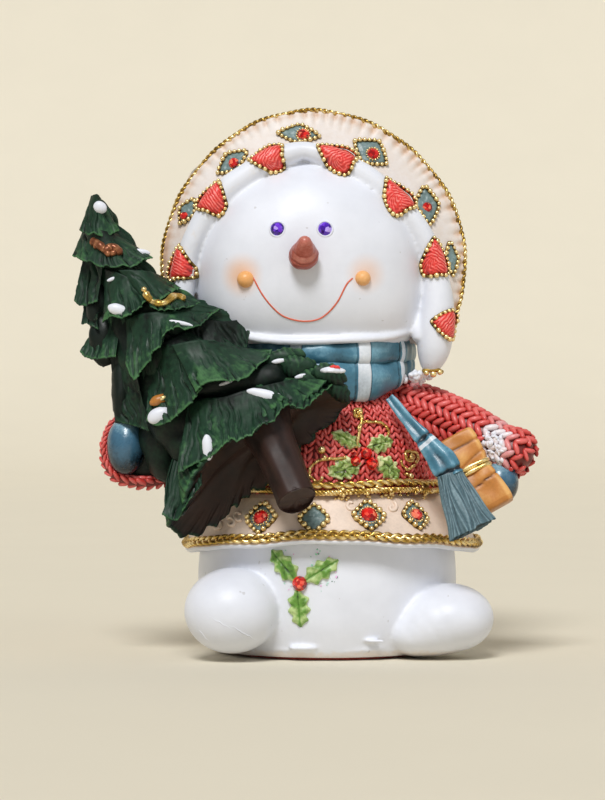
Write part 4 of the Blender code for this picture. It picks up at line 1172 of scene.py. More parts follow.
class SNOWMAN_OT_face(bpy.types.Operator):
    """Shape the head with its chin lip, the nose, cheeks, smile and eye stones"""
    bl_idname = "snowman.face"
    bl_label = "Face"

    def execute(self, context):
        form = Form()
        a = np.linspace(0, 1.54, 70)[:, None]
        around, depth = np.cos(a) ** (2 / HEAD_FULLNESS), np.sin(a) ** (2 / HEAD_FULLNESS)
        turn = circle(130)[None]
        c, s = np.cos(turn), np.sin(turn)
        power = np.where(s > 0, 2.0, 3.0)
        reach = (np.abs(c) ** power + np.abs(s) ** power) ** (-1 / power)
        x = HEAD_CENTRE[0] + HEAD_HALF[0] * around * reach * c
        z = HEAD_CENTRE[2] + np.where(s > 0, HEAD_HALF[2], HEAD_DOWN) * around * reach * s
        y = np.broadcast_to(HEAD_CENTRE[1] - HEAD_HALF[1] * depth, x.shape)
        form.skin(np.stack([x, y, np.maximum(z, CHIN_Z)], -1))
        lip = smooth_path([(u, head_front(u, 69.6) - d, w) for u, w, d in
                           ((-17.5, 70.8, -1.0), (-13.0, 69.2, 0.0), (-8.0, 68.2, 0.3), (-0.5, 67.8, 0.4),
                            (10.0, 68.2, 0.4), (18.0, 68.8, 0.2), (22.6, 70.2, 0.2), (25.4, 71.2, 0.6))], 60)
        form.tube(lip, 0.85, 12)
        web = smooth_path([(26.4, -9.6, 78.5), (25.6, -10.4, 74.0), (24.9, -11.2, 71.0),
                           (25.6, -11.6, 68.6)], 20)
        form.tube(web, np.linspace(1.0, 1.9, 20), 12)
        roll = smooth_path([(x, ROLL_Y - ROLL_LEAN * min(1, max(0, (z - HEAD_CENTRE[2]) / HEAD_HALF[2])), z,
                             r)
                            for x, z, r in ROLL_PATH], 260)
        rings = tube_rings(roll, roll[:, 3], 40, flat=1.15)
        lumps = 0.22 * wave_noise(rings, 9.0, 3.0).reshape(len(rings), 40)
        form.skin(shift_out(rings, lumps))
        middle = roll[::4, (0, 2)]

        def shade(p):
            """A warm cream tint in the crook of the roll, a painted highlight on the lip, painted shade in the creases
            and under the lip.
            """
            away = np.min(np.linalg.norm(p[:, None, (0, 2)] - middle[None], axis=2), axis=1) / 2.6
            warm = 0.13 * np.clip((p[:, 2] - 80) / 8, 0, 1) * bump(away, 0, 0.8, 4) * (p[:, 1] < -5)
            # Painted highlight on the chin lip, painted shade in the crease around the face.
            lip_light = 0.15 * bump(p[:, 2], 68.6, 1.1) * (p[:, 1] < -10)
            crease = 0.10 * bump(away, 1.04, 0.16) * (p[:, 1] < -6)
            return 0.50 + lip_light - crease - warm - 0.12 * bump(p[:, 2], 67.0, 0.7)
        settle_fused(form, "snow_head", FUSE_VOXEL, 6, shade, "face", ("head", "bonnet_brim"))
        self.cheeks_and_smile()
        self.nose()
        self.eyes()
        return {"FINISHED"}

    def cheeks_and_smile(self):
        """Peach domes with a soft foot, and the painted line between them."""
        skin = Skin("snow_head")
        form = Form()
        for x, z, radius in CHEEKS:
            place, normal = skin.front(x, z)
            form.ball(place - normal * 0.2, (radius, radius, radius * 0.95), 24, 32, tone=0.55)
        settle(form, "cheek_domes", "peach", ("cheek_left", "cheek_right"))
        line = Form()
        path = skin.trace(smooth_path(SMILE, 110))
        taper = np.minimum(1, np.linspace(0.5, 12, 110)) * np.minimum(1, np.linspace(12, 0.5, 110))
        line.tube(path, sizes()["smile_radius"] * (0.5 + 0.25 * taper), 8)
        settle(line, "smile_line", "smile")

    def nose(self):
        """A stub of carrot with turned rings: painted shade in the rings and a painted highlight toward the tip and on
        its upper side.
        """
        skin = Skin("snow_head")
        place = skin.front(*NOSE)[0]
        tilt = unit(NOSE_AIM)
        side = np.array([1.0, 0, 0])
        rise = np.cross(side, tilt)
        profile = smooth_path([(-0.06, 0.6), (0.0, 0.86), (0.10, 1.0), (0.24, 1.0), (0.40, 0.86),
                               (0.62, 0.66), (0.80, 0.50), (0.93, 0.36), (1.0, 0.16)], 50)
        a = circle(48)
        rings, tones = [], []
        for along, radius in profile:
            groove = 0.05 * bump(along, 0.3, 0.025) + 0.04 * bump(along, 0.52, 0.02)
            r = NOSE_RADIUS * (radius - groove + 0.006 * math.sin(along * 60))
            middle = place + np.array([0, -1.2, -0.6]) + tilt * NOSE_LENGTH * along
            lumps = 1 + 0.02 * np.sin(3 * a + along * 9) + 0.015 * np.sin(7 * a - along * 14)
            round_about = side * np.cos(a)[:, None] + rise * np.sin(a)[:, None]
            rings.append(middle + round_about * (r * lumps)[:, None])
            # Painted highlight toward the tip and on the upper side; painted shade in the grooves.
            patch = bump(along, 0.42, 0.12) * np.clip(np.sin(a) * 1.3, 0, 1)
            tones.append(0.30 - groove * 4 + 0.34 * along + 0.28 * patch)
        form = Form()
        form.skin(rings, tones)
        settle(form, "carrot_nose", "carrot", ("nose",))

    def eyes(self):
        """Two round violet stones in shallow cups."""
        skin = Skin("snow_head")
        stones, cups = Form(), Form()
        for x, z in EYES:
            place, normal = skin.facing(x, z)
            cut_stone(stones, place - normal * 0.15, normal, EYE_STONE, 16)
            right, up = tangent_frame(normal)
            a = circle(40)
            ring = place + normal * 0.02 + EYE_RIM * (right * np.cos(a)[:, None] + up * np.sin(a)[:, None])
            cups.tube(ring, 0.22, 8, loop=True, towards=normal)
        settle(stones, "eye_stones", "violet", ("eye_left", "eye_right"), smooth=False)
        settle(cups, "eye_rims", "snow")


def cut_stone(form, place, normal, radius, sides, height=0.62):
    """A round stone with a table, a crown of facets and a narrow girdle."""
    right, up = tangent_frame(normal)
    rings = []
    for share, lift, offset in ((0.96, -0.1, 0.0), (1.0, 0.12, 0.0), (0.80, 0.40, 0.5), (0.50, 0.62, 0.0)):
        a = math.tau * (np.arange(sides) + offset) / sides
        flat = right * np.cos(a)[:, None] + up * np.sin(a)[:, None]
        rings.append(place + radius * (share * flat + normal * lift * height / 0.62))
    form.skin(np.array(rings))


class SNOWMAN_OT_cap(bpy.types.Operator):
    """Shape the gathered cap with its folded crown and the gold cord on the rim"""
    bl_idname = "snowman.cap"
    bl_label = "Cap"

    def execute(self, context):
        self.cap()
        a = np.radians(np.linspace(-36, 216, 420))
        out = np.stack([np.cos(a), np.full(len(a), -0.7), np.sin(a)], -1)
        reach = rim_reach(a) + 0.15 + 0.10 * np.sin(17 * a)
        path = np.stack([CAP_CENTRE[0] + reach * np.cos(a), CAP_RIM_Y - 0.6 + 0.15 * np.sin(11 * a),
                         CAP_CENTRE[1] + reach * np.sin(a)], -1)
        cord("rim_cord", path, out, ("bonnet_cord",), strands=2, strand=0.31,
             width=0.30, height=0.30, pitch=sizes()["cord_pitch"], step=0.2)
        return {"FINISHED"}

    def cap(self):
        """The white front, hollowed from the roll to the gathered rim, and the folded crown behind it."""
        turn = circle(560)
        roll = np.array(ROLL_PATH)
        at = np.degrees(np.arctan2(roll[:, 1] - CAP_CENTRE[1], roll[:, 0] - CAP_CENTRE[0]))
        start = np.interp(np.degrees(turn), at,
                          np.hypot(roll[:, 0] - CAP_CENTRE[0], roll[:, 1] - CAP_CENTRE[1]),
                          period=360) - 1.0
        rim = rim_reach(turn)
        gathers = 84
        phase = turn * gathers + 2.0 * np.sin(turn * 9)
        pinch = (0.5 + 0.5 * np.cos(phase)) ** 2
        depth = sizes()["gather_depth"] * 1.7
        side = np.clip(0.62 + 0.38 * np.cos(turn - 0.45), 0, 1)
        slack = 0.4 * np.sin(turn * 11 + 1.3 * np.sin(turn * 3))
        rings, tones = [], []
        for f in np.linspace(0, 1, 26):
            near = max(0.0, (f - 0.66) / 0.34) ** 1.5
            hollow = 0.5 * np.sin(math.pi * min(1, f * 1.1)) * (1 + slack)
            y = -0.7 - 6.3 * (1 - f) ** 1.25 + hollow + depth * pinch * near * side
            reach = start + (rim - start) * f
            rings.append((reach, y))
            # The old mark is a brown stain at the left; the rest is painted shade in the pinches of the gathers,
            # beside the roll and along the rim.
            old = bump(turn, math.pi * 1.02, 0.28) * max(0.0, f - 0.3)
            tones.append(0.55 - 0.26 * pinch * near * side - 0.10 * bump(f, 0, 0.16) - 0.45 * old
                         - 0.14 * bump(f, 0.93, 0.06))
        crown = 0.15 + 1.05 * bump(turn, math.radians(112), 0.20) + 1.15 * bump(turn, math.radians(143), 0.17)
        for t in np.linspace(0, 1.5, 34):
            lift = min(1.0, t / 0.1)
            fold = 0.45 * np.sin(turn * 21 + 1.2 * np.sin(turn * 5)) * min(1.0, t * 3) * math.cos(t)
            reach = (rim + crown * lift) * math.cos(t) ** 0.75 + fold
            rings.append((reach, CAP_RIM_Y + 0.9 + (CAP_BACK_Y - CAP_RIM_Y - 0.9) * math.sin(t)))
            # Painted highlight on the crown's folds and painted shade in their hollows.
            tones.append(0.5 + 0.25 * fold)
        points = []
        for reach, y in rings:
            reach = np.minimum(reach, CAP_WIDEST)
            z = np.maximum(CAP_CENTRE[1] + reach * np.sin(turn), CAP_FOOT_Z)
            points.append(np.stack([CAP_CENTRE[0] + reach * np.cos(turn), np.broadcast_to(y, turn.shape), z],
                                   -1))
        form = Form()
        form.skin(points, tones)
        settle(form, "cap_cloth", "cap", ("bonnet",))


def rim_reach(turn):
    """How far the cap's rim lies from its middle, in every direction."""
    degrees, reach = np.array(RIM_REACH).T
    return np.interp(np.degrees(turn), degrees, reach, period=360)


# ---------------------------------------------------------------- ornaments
HEART = ((0.5, 0.0), (0.2, 0.3), (-0.15, 0.48), (-0.42, 0.43), (-0.47, 0.2), (-0.42, 0.0), (-0.47, -0.2),
         (-0.42, -0.43), (-0.15, -0.48), (0.2, -0.3))
LOZENGE = ((0.0, -0.5), (0.17, -0.36), (0.34, -0.19), (0.5, 0.0), (0.34, 0.19), (0.17, 0.36), (0.0, 0.5),
           (-0.17, 0.36), (-0.34, 0.19), (-0.5, 0.0), (-0.34, -0.19), (-0.17, -0.36))
HOLLY = ((0.5, 0.0), (0.38, 0.12), (0.30, 0.34), (0.18, 0.22), (0.05, 0.46), (-0.08, 0.27), (-0.24, 0.43),
         (-0.32, 0.18), (-0.5, 0.06), (-0.5, -0.06), (-0.32, -0.18), (-0.24, -0.43), (-0.08, -0.27),
         (0.05, -0.46), (0.18, -0.22), (0.30, -0.34), (0.38, -0.12))


def bead_row(beads, outline, place, normal, skin, radius, spacing, rng, lift=0.9, wire_and_gap_shade=None):
    """Beads along an outline laid on a surface, and a dark wire under them whose darkness is painted shade between the
    beads.
    """
    right, up = tangent_frame(normal)

    def laid(step):
        """Places on the surface every so far along the outline."""
        for u, v in along_outline(outline, step):
            spot = place + right * u + up * v
            hit = skin.hit(spot + normal * RAY_START, -normal, RAY_REACH)
            yield hit if hit is not None else spot - normal * 2.2

    for base in laid(spacing):
        size = radius * (1 + 0.45 * (rng.random() - 0.5))
        beads.put(base + normal * (radius * lift + 0.05), right, normal, size, rng.random())
    # The dark wire: painted shade in the gaps between the beads.
    if wire_and_gap_shade is not None:
        wire_and_gap_shade.tube(np.array(list(laid(0.45))) + normal * 0.05, radius * 0.75, 7, 0.14, loop=True,
                 towards=normal)


class SNOWMAN_OT_ornaments(bpy.types.Operator):
    """Lay the hearts, the diamonds, their gold beads and the glass stones"""
    bl_idname = "snowman.ornaments"
    bl_label = "Hearts and diamonds"

    def execute(self, context):
        bead, spacing = (sizes()[key] for key in ("bead_radius", "bead_spacing"))
        rng = np.random.default_rng(11)
        head = Skin("snow_head", "cap_cloth")
        hem = Skin("hem_skirt")
        beads = Placing()
        hearts, plates, stones, wire_and_gap_shade = Form(), Form(), Form(), Form()
        for x, z, width, height, turn in HEARTS:
            place, normal = head.facing(x, z, 0.8)
            outline = outline_of(HEART, width * 1.1, height * 1.1, turn)
            stroke = math.radians(turn + 55)
            laid_patch(hearts, outline * 0.94, place, normal, head, 1.1, relief=strokes(stroke, 10.5, 0.09),
                       tone=stroke_tone(stroke, 10.5))
            bead_row(beads, outline, place, normal, head, bead, spacing, rng, wire_and_gap_shade=wire_and_gap_shade)
        for diamonds, skin, grow in ((CAP_DIAMONDS, head, 1.0), (HEM_DIAMONDS, hem, 1.2)):
            for x, z, width, height, turn in diamonds:
                place, normal = skin.facing(x, z, 0.5)
                outline = outline_of(LOZENGE, height, width, turn)
                # Darker toward the edge: painted shade at the foot of each diamond.
                laid_patch(plates, outline * 0.92, place, normal, skin, 0.5,
                           relief=lambda u, v, share: 0.22 * noise_of(u * 1.4, v * 1.4, x),
                           tone=lambda u, v, share: 0.46 - 0.25 * share ** 8)
                bead_row(beads, outline, place, normal, skin, bead * grow, spacing * grow, rng, wire_and_gap_shade=wire_and_gap_shade)
        settle(hearts, "heart_patches", "coral", [f"heart_{i + 1}" for i in range(7)])
        settle(plates, "diamond_patches", "slate",
               [f"bonnet_diamond_{i + 1}" for i in range(6)] + [f"hem_diamond_{i + 1}" for i in range(4)])
        laid = Skin("diamond_patches", "cap_cloth", "hem_skirt")
        for x, z, radius in (*CAP_STONES, *HEM_STONES):
            place, normal = laid.facing(x, z)
            cut_stone(stones, place, normal, radius, 10)
            if radius > 1.2:
                ring = [(radius * 1.12 * math.cos(t), radius * 1.12 * math.sin(t))
                        for t in np.linspace(0, math.tau, 40)]
                bead_row(beads, ring, place, normal, laid, 0.26, 0.62, rng, 0.5)
        settle(stones, "red_stones", "ruby",
               [f"bonnet_stone_{i + 1}" for i in range(5)] + [f"hem_stone_{i + 1}" for i in range(3)],
               smooth=False)
        for x, z, radius in SHOULDER_BEADS:
            beads.put(np.array((x, -12.0, z)), (1, 0, 0), FRONT, radius, 0.6)
        # A real wire under the shoulder beads; under the other beads the dark wires are painted shade.
        wire_and_gap_shade.tube(smooth_path(SHOULDER_WIRE, 16), 0.45, 8, 0.4)
        beads.grow("gold_beads", bead_shape(), "gold", unevenness=0.08, seed=3)
        settle(wire_and_gap_shade, "bead_wires", "gold")
        return {"FINISHED"}


def strokes(direction, density, depth):
    """Relief like short strokes of thick paint running one way."""
    c, s = math.cos(direction), math.sin(direction)

    def relief(u, v, share):
        across = -u * s + v * c
        along = u * c + v * s
        wander = noise_of(along * 0.9, across * 1.1, 3.0)
        return depth * math.sin(across * density + 2.6 * wander) * min(1.0, 2.2 * (1.05 - share))
    return relief


def stroke_tone(direction, density):
    """Tones that go with the strokes: a painted highlight on their ridges and painted shade at the patch's foot."""
    ridge = strokes(direction, density, 1.0)
    return lambda u, v, share: min(1.0, max(0.0, 0.52 + 0.30 * ridge(u, v, share * 0.5) - 0.25 * share ** 6))


def leaf(form, skin, x, z, length, width, turn, rng):
    """A spiked holly leaf with a middle vein, side veins and a curled edge."""
    place, normal = skin.front(x, z)
    outline = outline_of(HOLLY, width, length, turn, 64, 1)
    c, s = math.cos(math.radians(turn)), math.sin(math.radians(turn))
    phase = rng.random() * 6

    def relief(u, v, share):
        along, across = u * c + v * s, -u * s + v * c
        vein = math.exp(-(across / 0.22) ** 2)
        side = math.sin(along * 4.2 + abs(across) * 3.0 + phase)
        crumple = 0.30 * noise_of(u * 0.9, v * 0.9, phase * 2)
        return 0.25 * share ** 3 - 0.26 * vein + 0.10 * side * min(1, abs(across)) + crumple

    def tone(u, v, share):
        across = -u * s + v * c
        # Lighter toward the curled edge, painted highlight; darker in the sunken vein, painted shade; the noise
        # patches are the leaf's own colour.
        vein = math.exp(-(across / 0.16) ** 2)
        patch = noise_of(u * 0.8, v * 0.8, phase)
        return min(1.0, max(0.0, 0.5 + 0.3 * share ** 4 + 0.45 * patch - 0.3 * vein))

    laid_patch(form, outline, place, normal, skin, 0.7, 10, relief=relief, tone=tone, sink=0.35)


def glitter_over(places, skin, x, z, spread, count, rng):
    """Flecks of glitter scattered around a place."""
    for _ in range(count):
        u, v = rng.normal(0, spread, 2)
        try:
            place, normal = skin.front(x + u, z + v)
        except ValueError:
            continue
        aim = unit(rng.normal(0, 1, 3))
        out = unit(normal + rng.normal(0, 0.5, 3))
        places.put(place + normal * 0.12, aim, out, FLECK * (0.6 + rng.random()))


def spiral(x, z, start_radius, end_radius, start, turns, count=40):
    """Points on a flat spiral."""
    t = np.linspace(0, 1, count)
    radius = start_radius + (end_radius - start_radius) * t
    angle = math.radians(start) + turns * math.tau * t
    return [(x + r * math.cos(a), z + r * math.sin(a)) for r, a in zip(radius, angle)]


def wire(form, skin, points, radius, lift=0.5):
    """A gold wire bent over a surface."""
    curve = smooth_path(points, 60)
    form.tube(eased(skin.trace(curve, lift), 3), radius * 1.25, 9, 0.6)


class SNOWMAN_OT_sprigs(bpy.types.Operator):
    """Lay the holly on the chest and the belly, its stones, glitter and the gold scrolls"""
    bl_idname = "snowman.sprigs"
    bl_label = "Holly and scrolls"

    def execute(self, context):
        rng = np.random.default_rng(5)
        chest, belly = Skin("chest_knit", "jumper_ground"), Skin("snow_body_skin")
        for name, leaves, skin, node, finish in (
                ("chest_leaves", CHEST_LEAVES, chest, "chest_holly", "pale holly"),
                ("belly_leaves", BELLY_LEAVES, belly, "belly_holly", "holly")):
            form = Form()
            for x, z, length, width, turn in leaves:
                leaf(form, skin, x, z, length, width, turn, rng)
            settle(form, name, finish, (node,))
        stones = Form()
        for x, z, radius in CHEST_BERRIES:
            place, normal = chest.front(x, z)
            cut_stone(stones, place + normal * 0.8, unit(normal + FRONT), radius, 9, 0.9)
        x, z, radius = BELLY_BERRY
        place, normal = belly.front(x, z)
        cut_stone(stones, place + normal * 0.35, normal, radius, 12, 0.9)
        settle(stones, "holly_stones", "ruby", smooth=False)
        hem = Skin("hem_skirt")
        flecks = Placing()
        for x, z, spread, count in GLITTER:
            skin = chest if z > 35 else hem if z > 25 else belly
            glitter_over(flecks, skin, x, z, spread, count, rng)
        flecks.grow("glitter_flecks", fleck_shape(), "glitter", seed=4, smooth=False)
        self.scrolls(chest)
        return {"FINISHED"}

    def scrolls(self, skin):
        """Bent gold wires with coiled ends."""
        form = Form()
        stem = [(12.5, 51.0), (12.2, 49.6), (11.7, 48.4), (11.5, 46.4), (11.5, 45.4)]
        coils = ((spiral(11.9, 52.6, 0.3, 1.15, 200, 1.35) + stem, 0.3, 0.5),
                 (spiral(22.9, 43.1, 0.35, 1.75, 90, -1.4), 0.3, 0.5))
        for points, radius, lift in (coils[0], SCROLLS[0], coils[1], *SCROLLS[1:]):
            wire(form, skin, points, radius, lift)
        settle(form, "gold_scrolls", "gold")
        beads = Placing()
        for x, z, radius in ((4.0, 44.6, 0.95), (4.7, 43.3, 0.5), (23.0, 38.9, 0.7), (23.5, 37.6, 0.55),
                             (12.0, 52.9, 0.5), (22.9, 43.2, 0.5), (26.4, 36.5, 0.6), (4.1, 39.0, 0.42)):
            place, normal = skin.front(x, z)
            beads.put(place + normal * 0.4, (1, 0, 0), normal, radius, 0.6)
        beads.grow("scroll_beads", bead_shape(), "gold", seed=8)


# ---------------------------------------------------------------- jumper, hem and cords
CHEST_RADIUS, SLEEVE_RADIUS = 22.2, 5.0
JUMPER_PROFILE = ((35.7, 23.4, 21.4), (43.0, 22.8, 21.0), (50.0, 20.8, 19.6), (55.5, 16.8, 16.6),
                  (60.0, 13.4, 13.4), (66.6, 11.2, 11.2))
HEM_TOP = (24.4, 22.4, 35.4)
HEM_EDGE = (33.3, 28.9, 26.2)
HEM_DROOP = 2.8


def hem_edge(turn, grow=0.0, rise=0.0):
    """The wavy lower edge of the hem, drooping toward the sides."""
    sway = 1 + 0.010 * np.sin(5 * turn + 0.6) + 0.006 * np.sin(11 * turn)
    wave = 0.16 * np.sin(7 * turn + 0.4) + 0.10 * np.sin(13 * turn)
    half_width, half_depth = (HEM_EDGE[0] - 1.2) * sway + grow, HEM_EDGE[1] * sway + grow
    return np.stack([BODY_X + 1.0 + half_width * np.cos(turn), half_depth * np.sin(turn),
                     HEM_EDGE[2] - HEM_DROOP * np.cos(turn) ** 2 + wave + rise], -1)


def level_edge(turn, half_width, half_depth, z):
    """A level ellipse around the body."""
    return np.stack([BODY_X + half_width * np.cos(turn), half_depth * np.sin(turn), np.full(len(turn), z)],
                    -1)


def knit_column(placing, spine, out, along, across, width, pitch, rng, frost=None, loose=0.0):
    """One column of knitted V stitches whose points lie on the spine; the V points along."""
    for place, o, t, e, w in zip(spine, out, along, across, width):
        lot = rng.random()
        white = frost(place) if frost else 0.0
        reach = math.hypot(w / 2, 1.15 * pitch)
        long, thick = 0.575 * reach, 0.56 * pitch * (w / 2) / reach
        for sign in (-1, 1):
            aim = unit(t * 1.15 * pitch - e * sign * w / 2)
            aim = unit(aim + loose * (0.9 * rng.normal() * e + 0.5 * rng.normal() * o))
            spot = place + e * sign * w * 0.25 + o * (0.06 + 0.4 * loose) * rng.normal()
            placing.put(spot, aim, o, (long, thick, thick * 1.1), lot * 0.7 + 0.3 * rng.random(), white)


class SNOWMAN_OT_jumper(bpy.types.Operator):
    """Knit the chest and shape the hem band with its plait and the waist cords"""
    bl_idname = "snowman.jumper"
    bl_label = "Jumper and hem"

    def execute(self, context):
        size = sizes()
        rng = np.random.default_rng(2)
        ground = Form()
        ground.skin(level_rings(smooth_path(JUMPER_PROFILE, 40), 90), 0.4)
        settle(ground, "jumper_ground", "knit ground", ("jumper",))
        self.chest(size, rng)
        self.hem(size)
        return {"FINISHED"}

    def chest(self, size, rng):
        """Columns of stitches all the way round, narrowing toward the neck."""
        profile = smooth_path(JUMPER_PROFILE, 300)
        run = np.r_[0, np.cumsum(np.hypot(np.diff(profile[:, 0]), np.diff(profile[:, 1])))]
        rows = np.arange(0.5, run[-1] - 6.0, size["stitch_pitch"])
        level = read_at(rows, run, profile)
        columns = round(math.tau * CHEST_RADIUS / size["stitch_width"])
        placing = Placing()
        for j in range(columns):
            turn = math.tau * (j + 0.5) / columns
            wobble = 0.07 * np.array([noise_of(j * 0.3, z * 0.2, 0) for z in level[:, 0]])
            a = turn + wobble * 0.6
            out = unit(np.stack([np.cos(a) / level[:, 1], np.sin(a) / level[:, 2], np.zeros(len(a))], -1))
            spine = np.stack([BODY_X + level[:, 1] * np.cos(a), level[:, 2] * np.sin(a), level[:, 0]], -1)
            spine += out * 0.3
            down = unit(-np.gradient(spine, axis=0))
            across = unit(np.cross(out, down))
            out = unit(np.cross(down, across))
            width = math.tau * level[:, 1] / columns
            knit_column(placing, spine, out, down, across, width, size["stitch_pitch"], rng, loose=0.22)
        placing.grow("chest_knit", stitch_shape(), "knit", unevenness=0.1, seed=21)

    def hem(self, size):
        """The flared cream band, the white lip under it, the plait on its edge and the cords at the waist."""
        turn = circle(420)
        edge = hem_edge(turn)
        rings, tones, paints = [], [], []
        for t in np.linspace(0, 1, 34):
            top = level_edge(turn, HEM_TOP[0] - 0.3, HEM_TOP[1] - 0.3, HEM_TOP[2])
            middle = level_edge(turn, 28.7, 25.2, 31.0)
            ring = (1 - t) ** 2 * top + 2 * t * (1 - t) * middle + t ** 2 * edge
            out = unit(ring - (BODY_X, 0, 0)) * (1, 1, 0)
            fold = 0.35 * np.sin(13 * turn + 0.5) * math.sin(math.pi * t)
            fold += 0.25 * np.sin(29 * turn) * t * (1 - t) * 2
            rings.append(ring + out * fold[:, None])
            # Darker just under the waist cords and along the lower edge, painted shade, with a slow wave of tone
            # around.
            tones.append(0.5 + 0.12 * np.sin(6 * turn) * t - 0.12 * (t > 0.9) - 0.2 * (t < 0.12))
            paints.append(0)
        for grow, rise in ((0.25, -0.35), (0.15, -0.85), (-0.5, -1.15), (-2.2, -1.0)):
            rings.append(hem_edge(turn, grow, rise))
            tones.append(np.full(420, 0.6))
            paints.append(1)
        for half_width, half_depth, z in ((28.5, 25.2, 25.45), (20.0, 18.0, 25.45), (20.0, 18.0, 35.0)):
            rings.append(level_edge(turn, half_width, half_depth, z))
            # The rings inside the hem take a low tone: painted shade under it.
            tones.append(np.full(420, 0.3))
            paints.append(1)
        form = Form()
        form.skin(rings, tones, paints, True)
        settle(form, "hem_skirt", "cream + snow", ("hem_band",))
        skin = Skin("hem_skirt")
        curls = Form()
        for x, z, start in ((-13.6, 30.8, 20), (-15.2, 29.2, 200), (-18.4, 28.6, 100), (10.2, 33.2, 40),
                            (19.0, 32.6, 150)):
            wire(curls, skin, spiral(x, z, 0.35, 1.15, start, 0.8, 24), 0.3, 0.1)
        settle(curls, "hem_curls", "cream")
        fine = circle(700)
        path = hem_edge(fine, 0.15, 0.95)
        out = unit(np.stack([np.cos(fine), np.sin(fine), np.full(700, 0.55)], -1))
        cord("hem_plait", path, out, ("hem_cord",), strands=3, strand=0.40,
             width=0.72, height=0.28, pitch=size["plait_pitch"], plaited=1.0, step=0.25, loop=True)
        self.waist(fine)

    def waist(self, turn):
        """Two gold cords side by side, with small clusters of beads hanging from them."""
        upper = level_edge(turn, 25.1, 23.1, 37.2)
        lower = level_edge(turn, 25.5, 23.5, 36.0)
        upper[:, 2] += 0.4 + 0.25 * np.sin(5 * turn)
        lower[:, 2] += 0.25 * np.sin(5 * turn + 0.3)
        out = unit(np.stack([np.cos(turn), np.sin(turn), np.full(len(turn), 0.2)], -1))
        cord("waist_cord", upper, out, ("belt_trim",), strands=2, strand=0.44,
             width=0.40, height=0.30, pitch=4.6, step=0.3, loop=True)
        cord("waist_cord_lower", lower, out, strands=3, strand=0.34, width=0.36,
             height=0.36, pitch=2.6, step=0.28, loop=True)
        rng = np.random.default_rng(9)
        skin = Skin("hem_skirt", "jumper_ground", "waist_cord_lower")
        beads = Placing()
        for x, z, count in ((8.6, 34.9, 12), (10.4, 36.4, 6), (13.3, 35.6, 9), (15.0, 37.6, 6),
                            (18.0, 34.8, 12), (20.6, 35.8, 5), (24.6, 36.2, 8), (5.0, 36.6, 3),
                            (27.0, 35.2, 5)):
            for _ in range(count):
                u, v = rng.normal(0, 0.9), rng.normal(0, 0.55)
                place, normal = skin.front(x + u, z + v)
                beads.put(place + normal * 0.15, (1, 0, 0), normal, 0.3 + 0.22 * rng.random(), rng.random())
        beads.grow("waist_beads", bead_shape(), "gold", seed=13)


# ---------------------------------------------------------------- scarf
SCARF_X = 4.4
STRAP_PATH = ((18.6, -16.9, 56.0, 0.9), (20.0, -17.6, 54.2, 1.05), (22.6, -19.0, 51.0, 1.3),
              (25.6, -20.5, 47.5, 1.75), (28.0, -21.7, 44.6, 2.4), (30.0, -22.7, 42.0, 3.0),
              (31.5, -23.3, 39.2, 2.8))
FRINGE_PATH = ((31.2, -23.3, 39.8, 2.8), (31.8, -23.8, 37.8, 3.1), (33.0, -24.7, 34.8, 3.8),
               (34.6, -26.1, 31.0, 4.4), (35.8, -26.9, 28.0, 5.1))


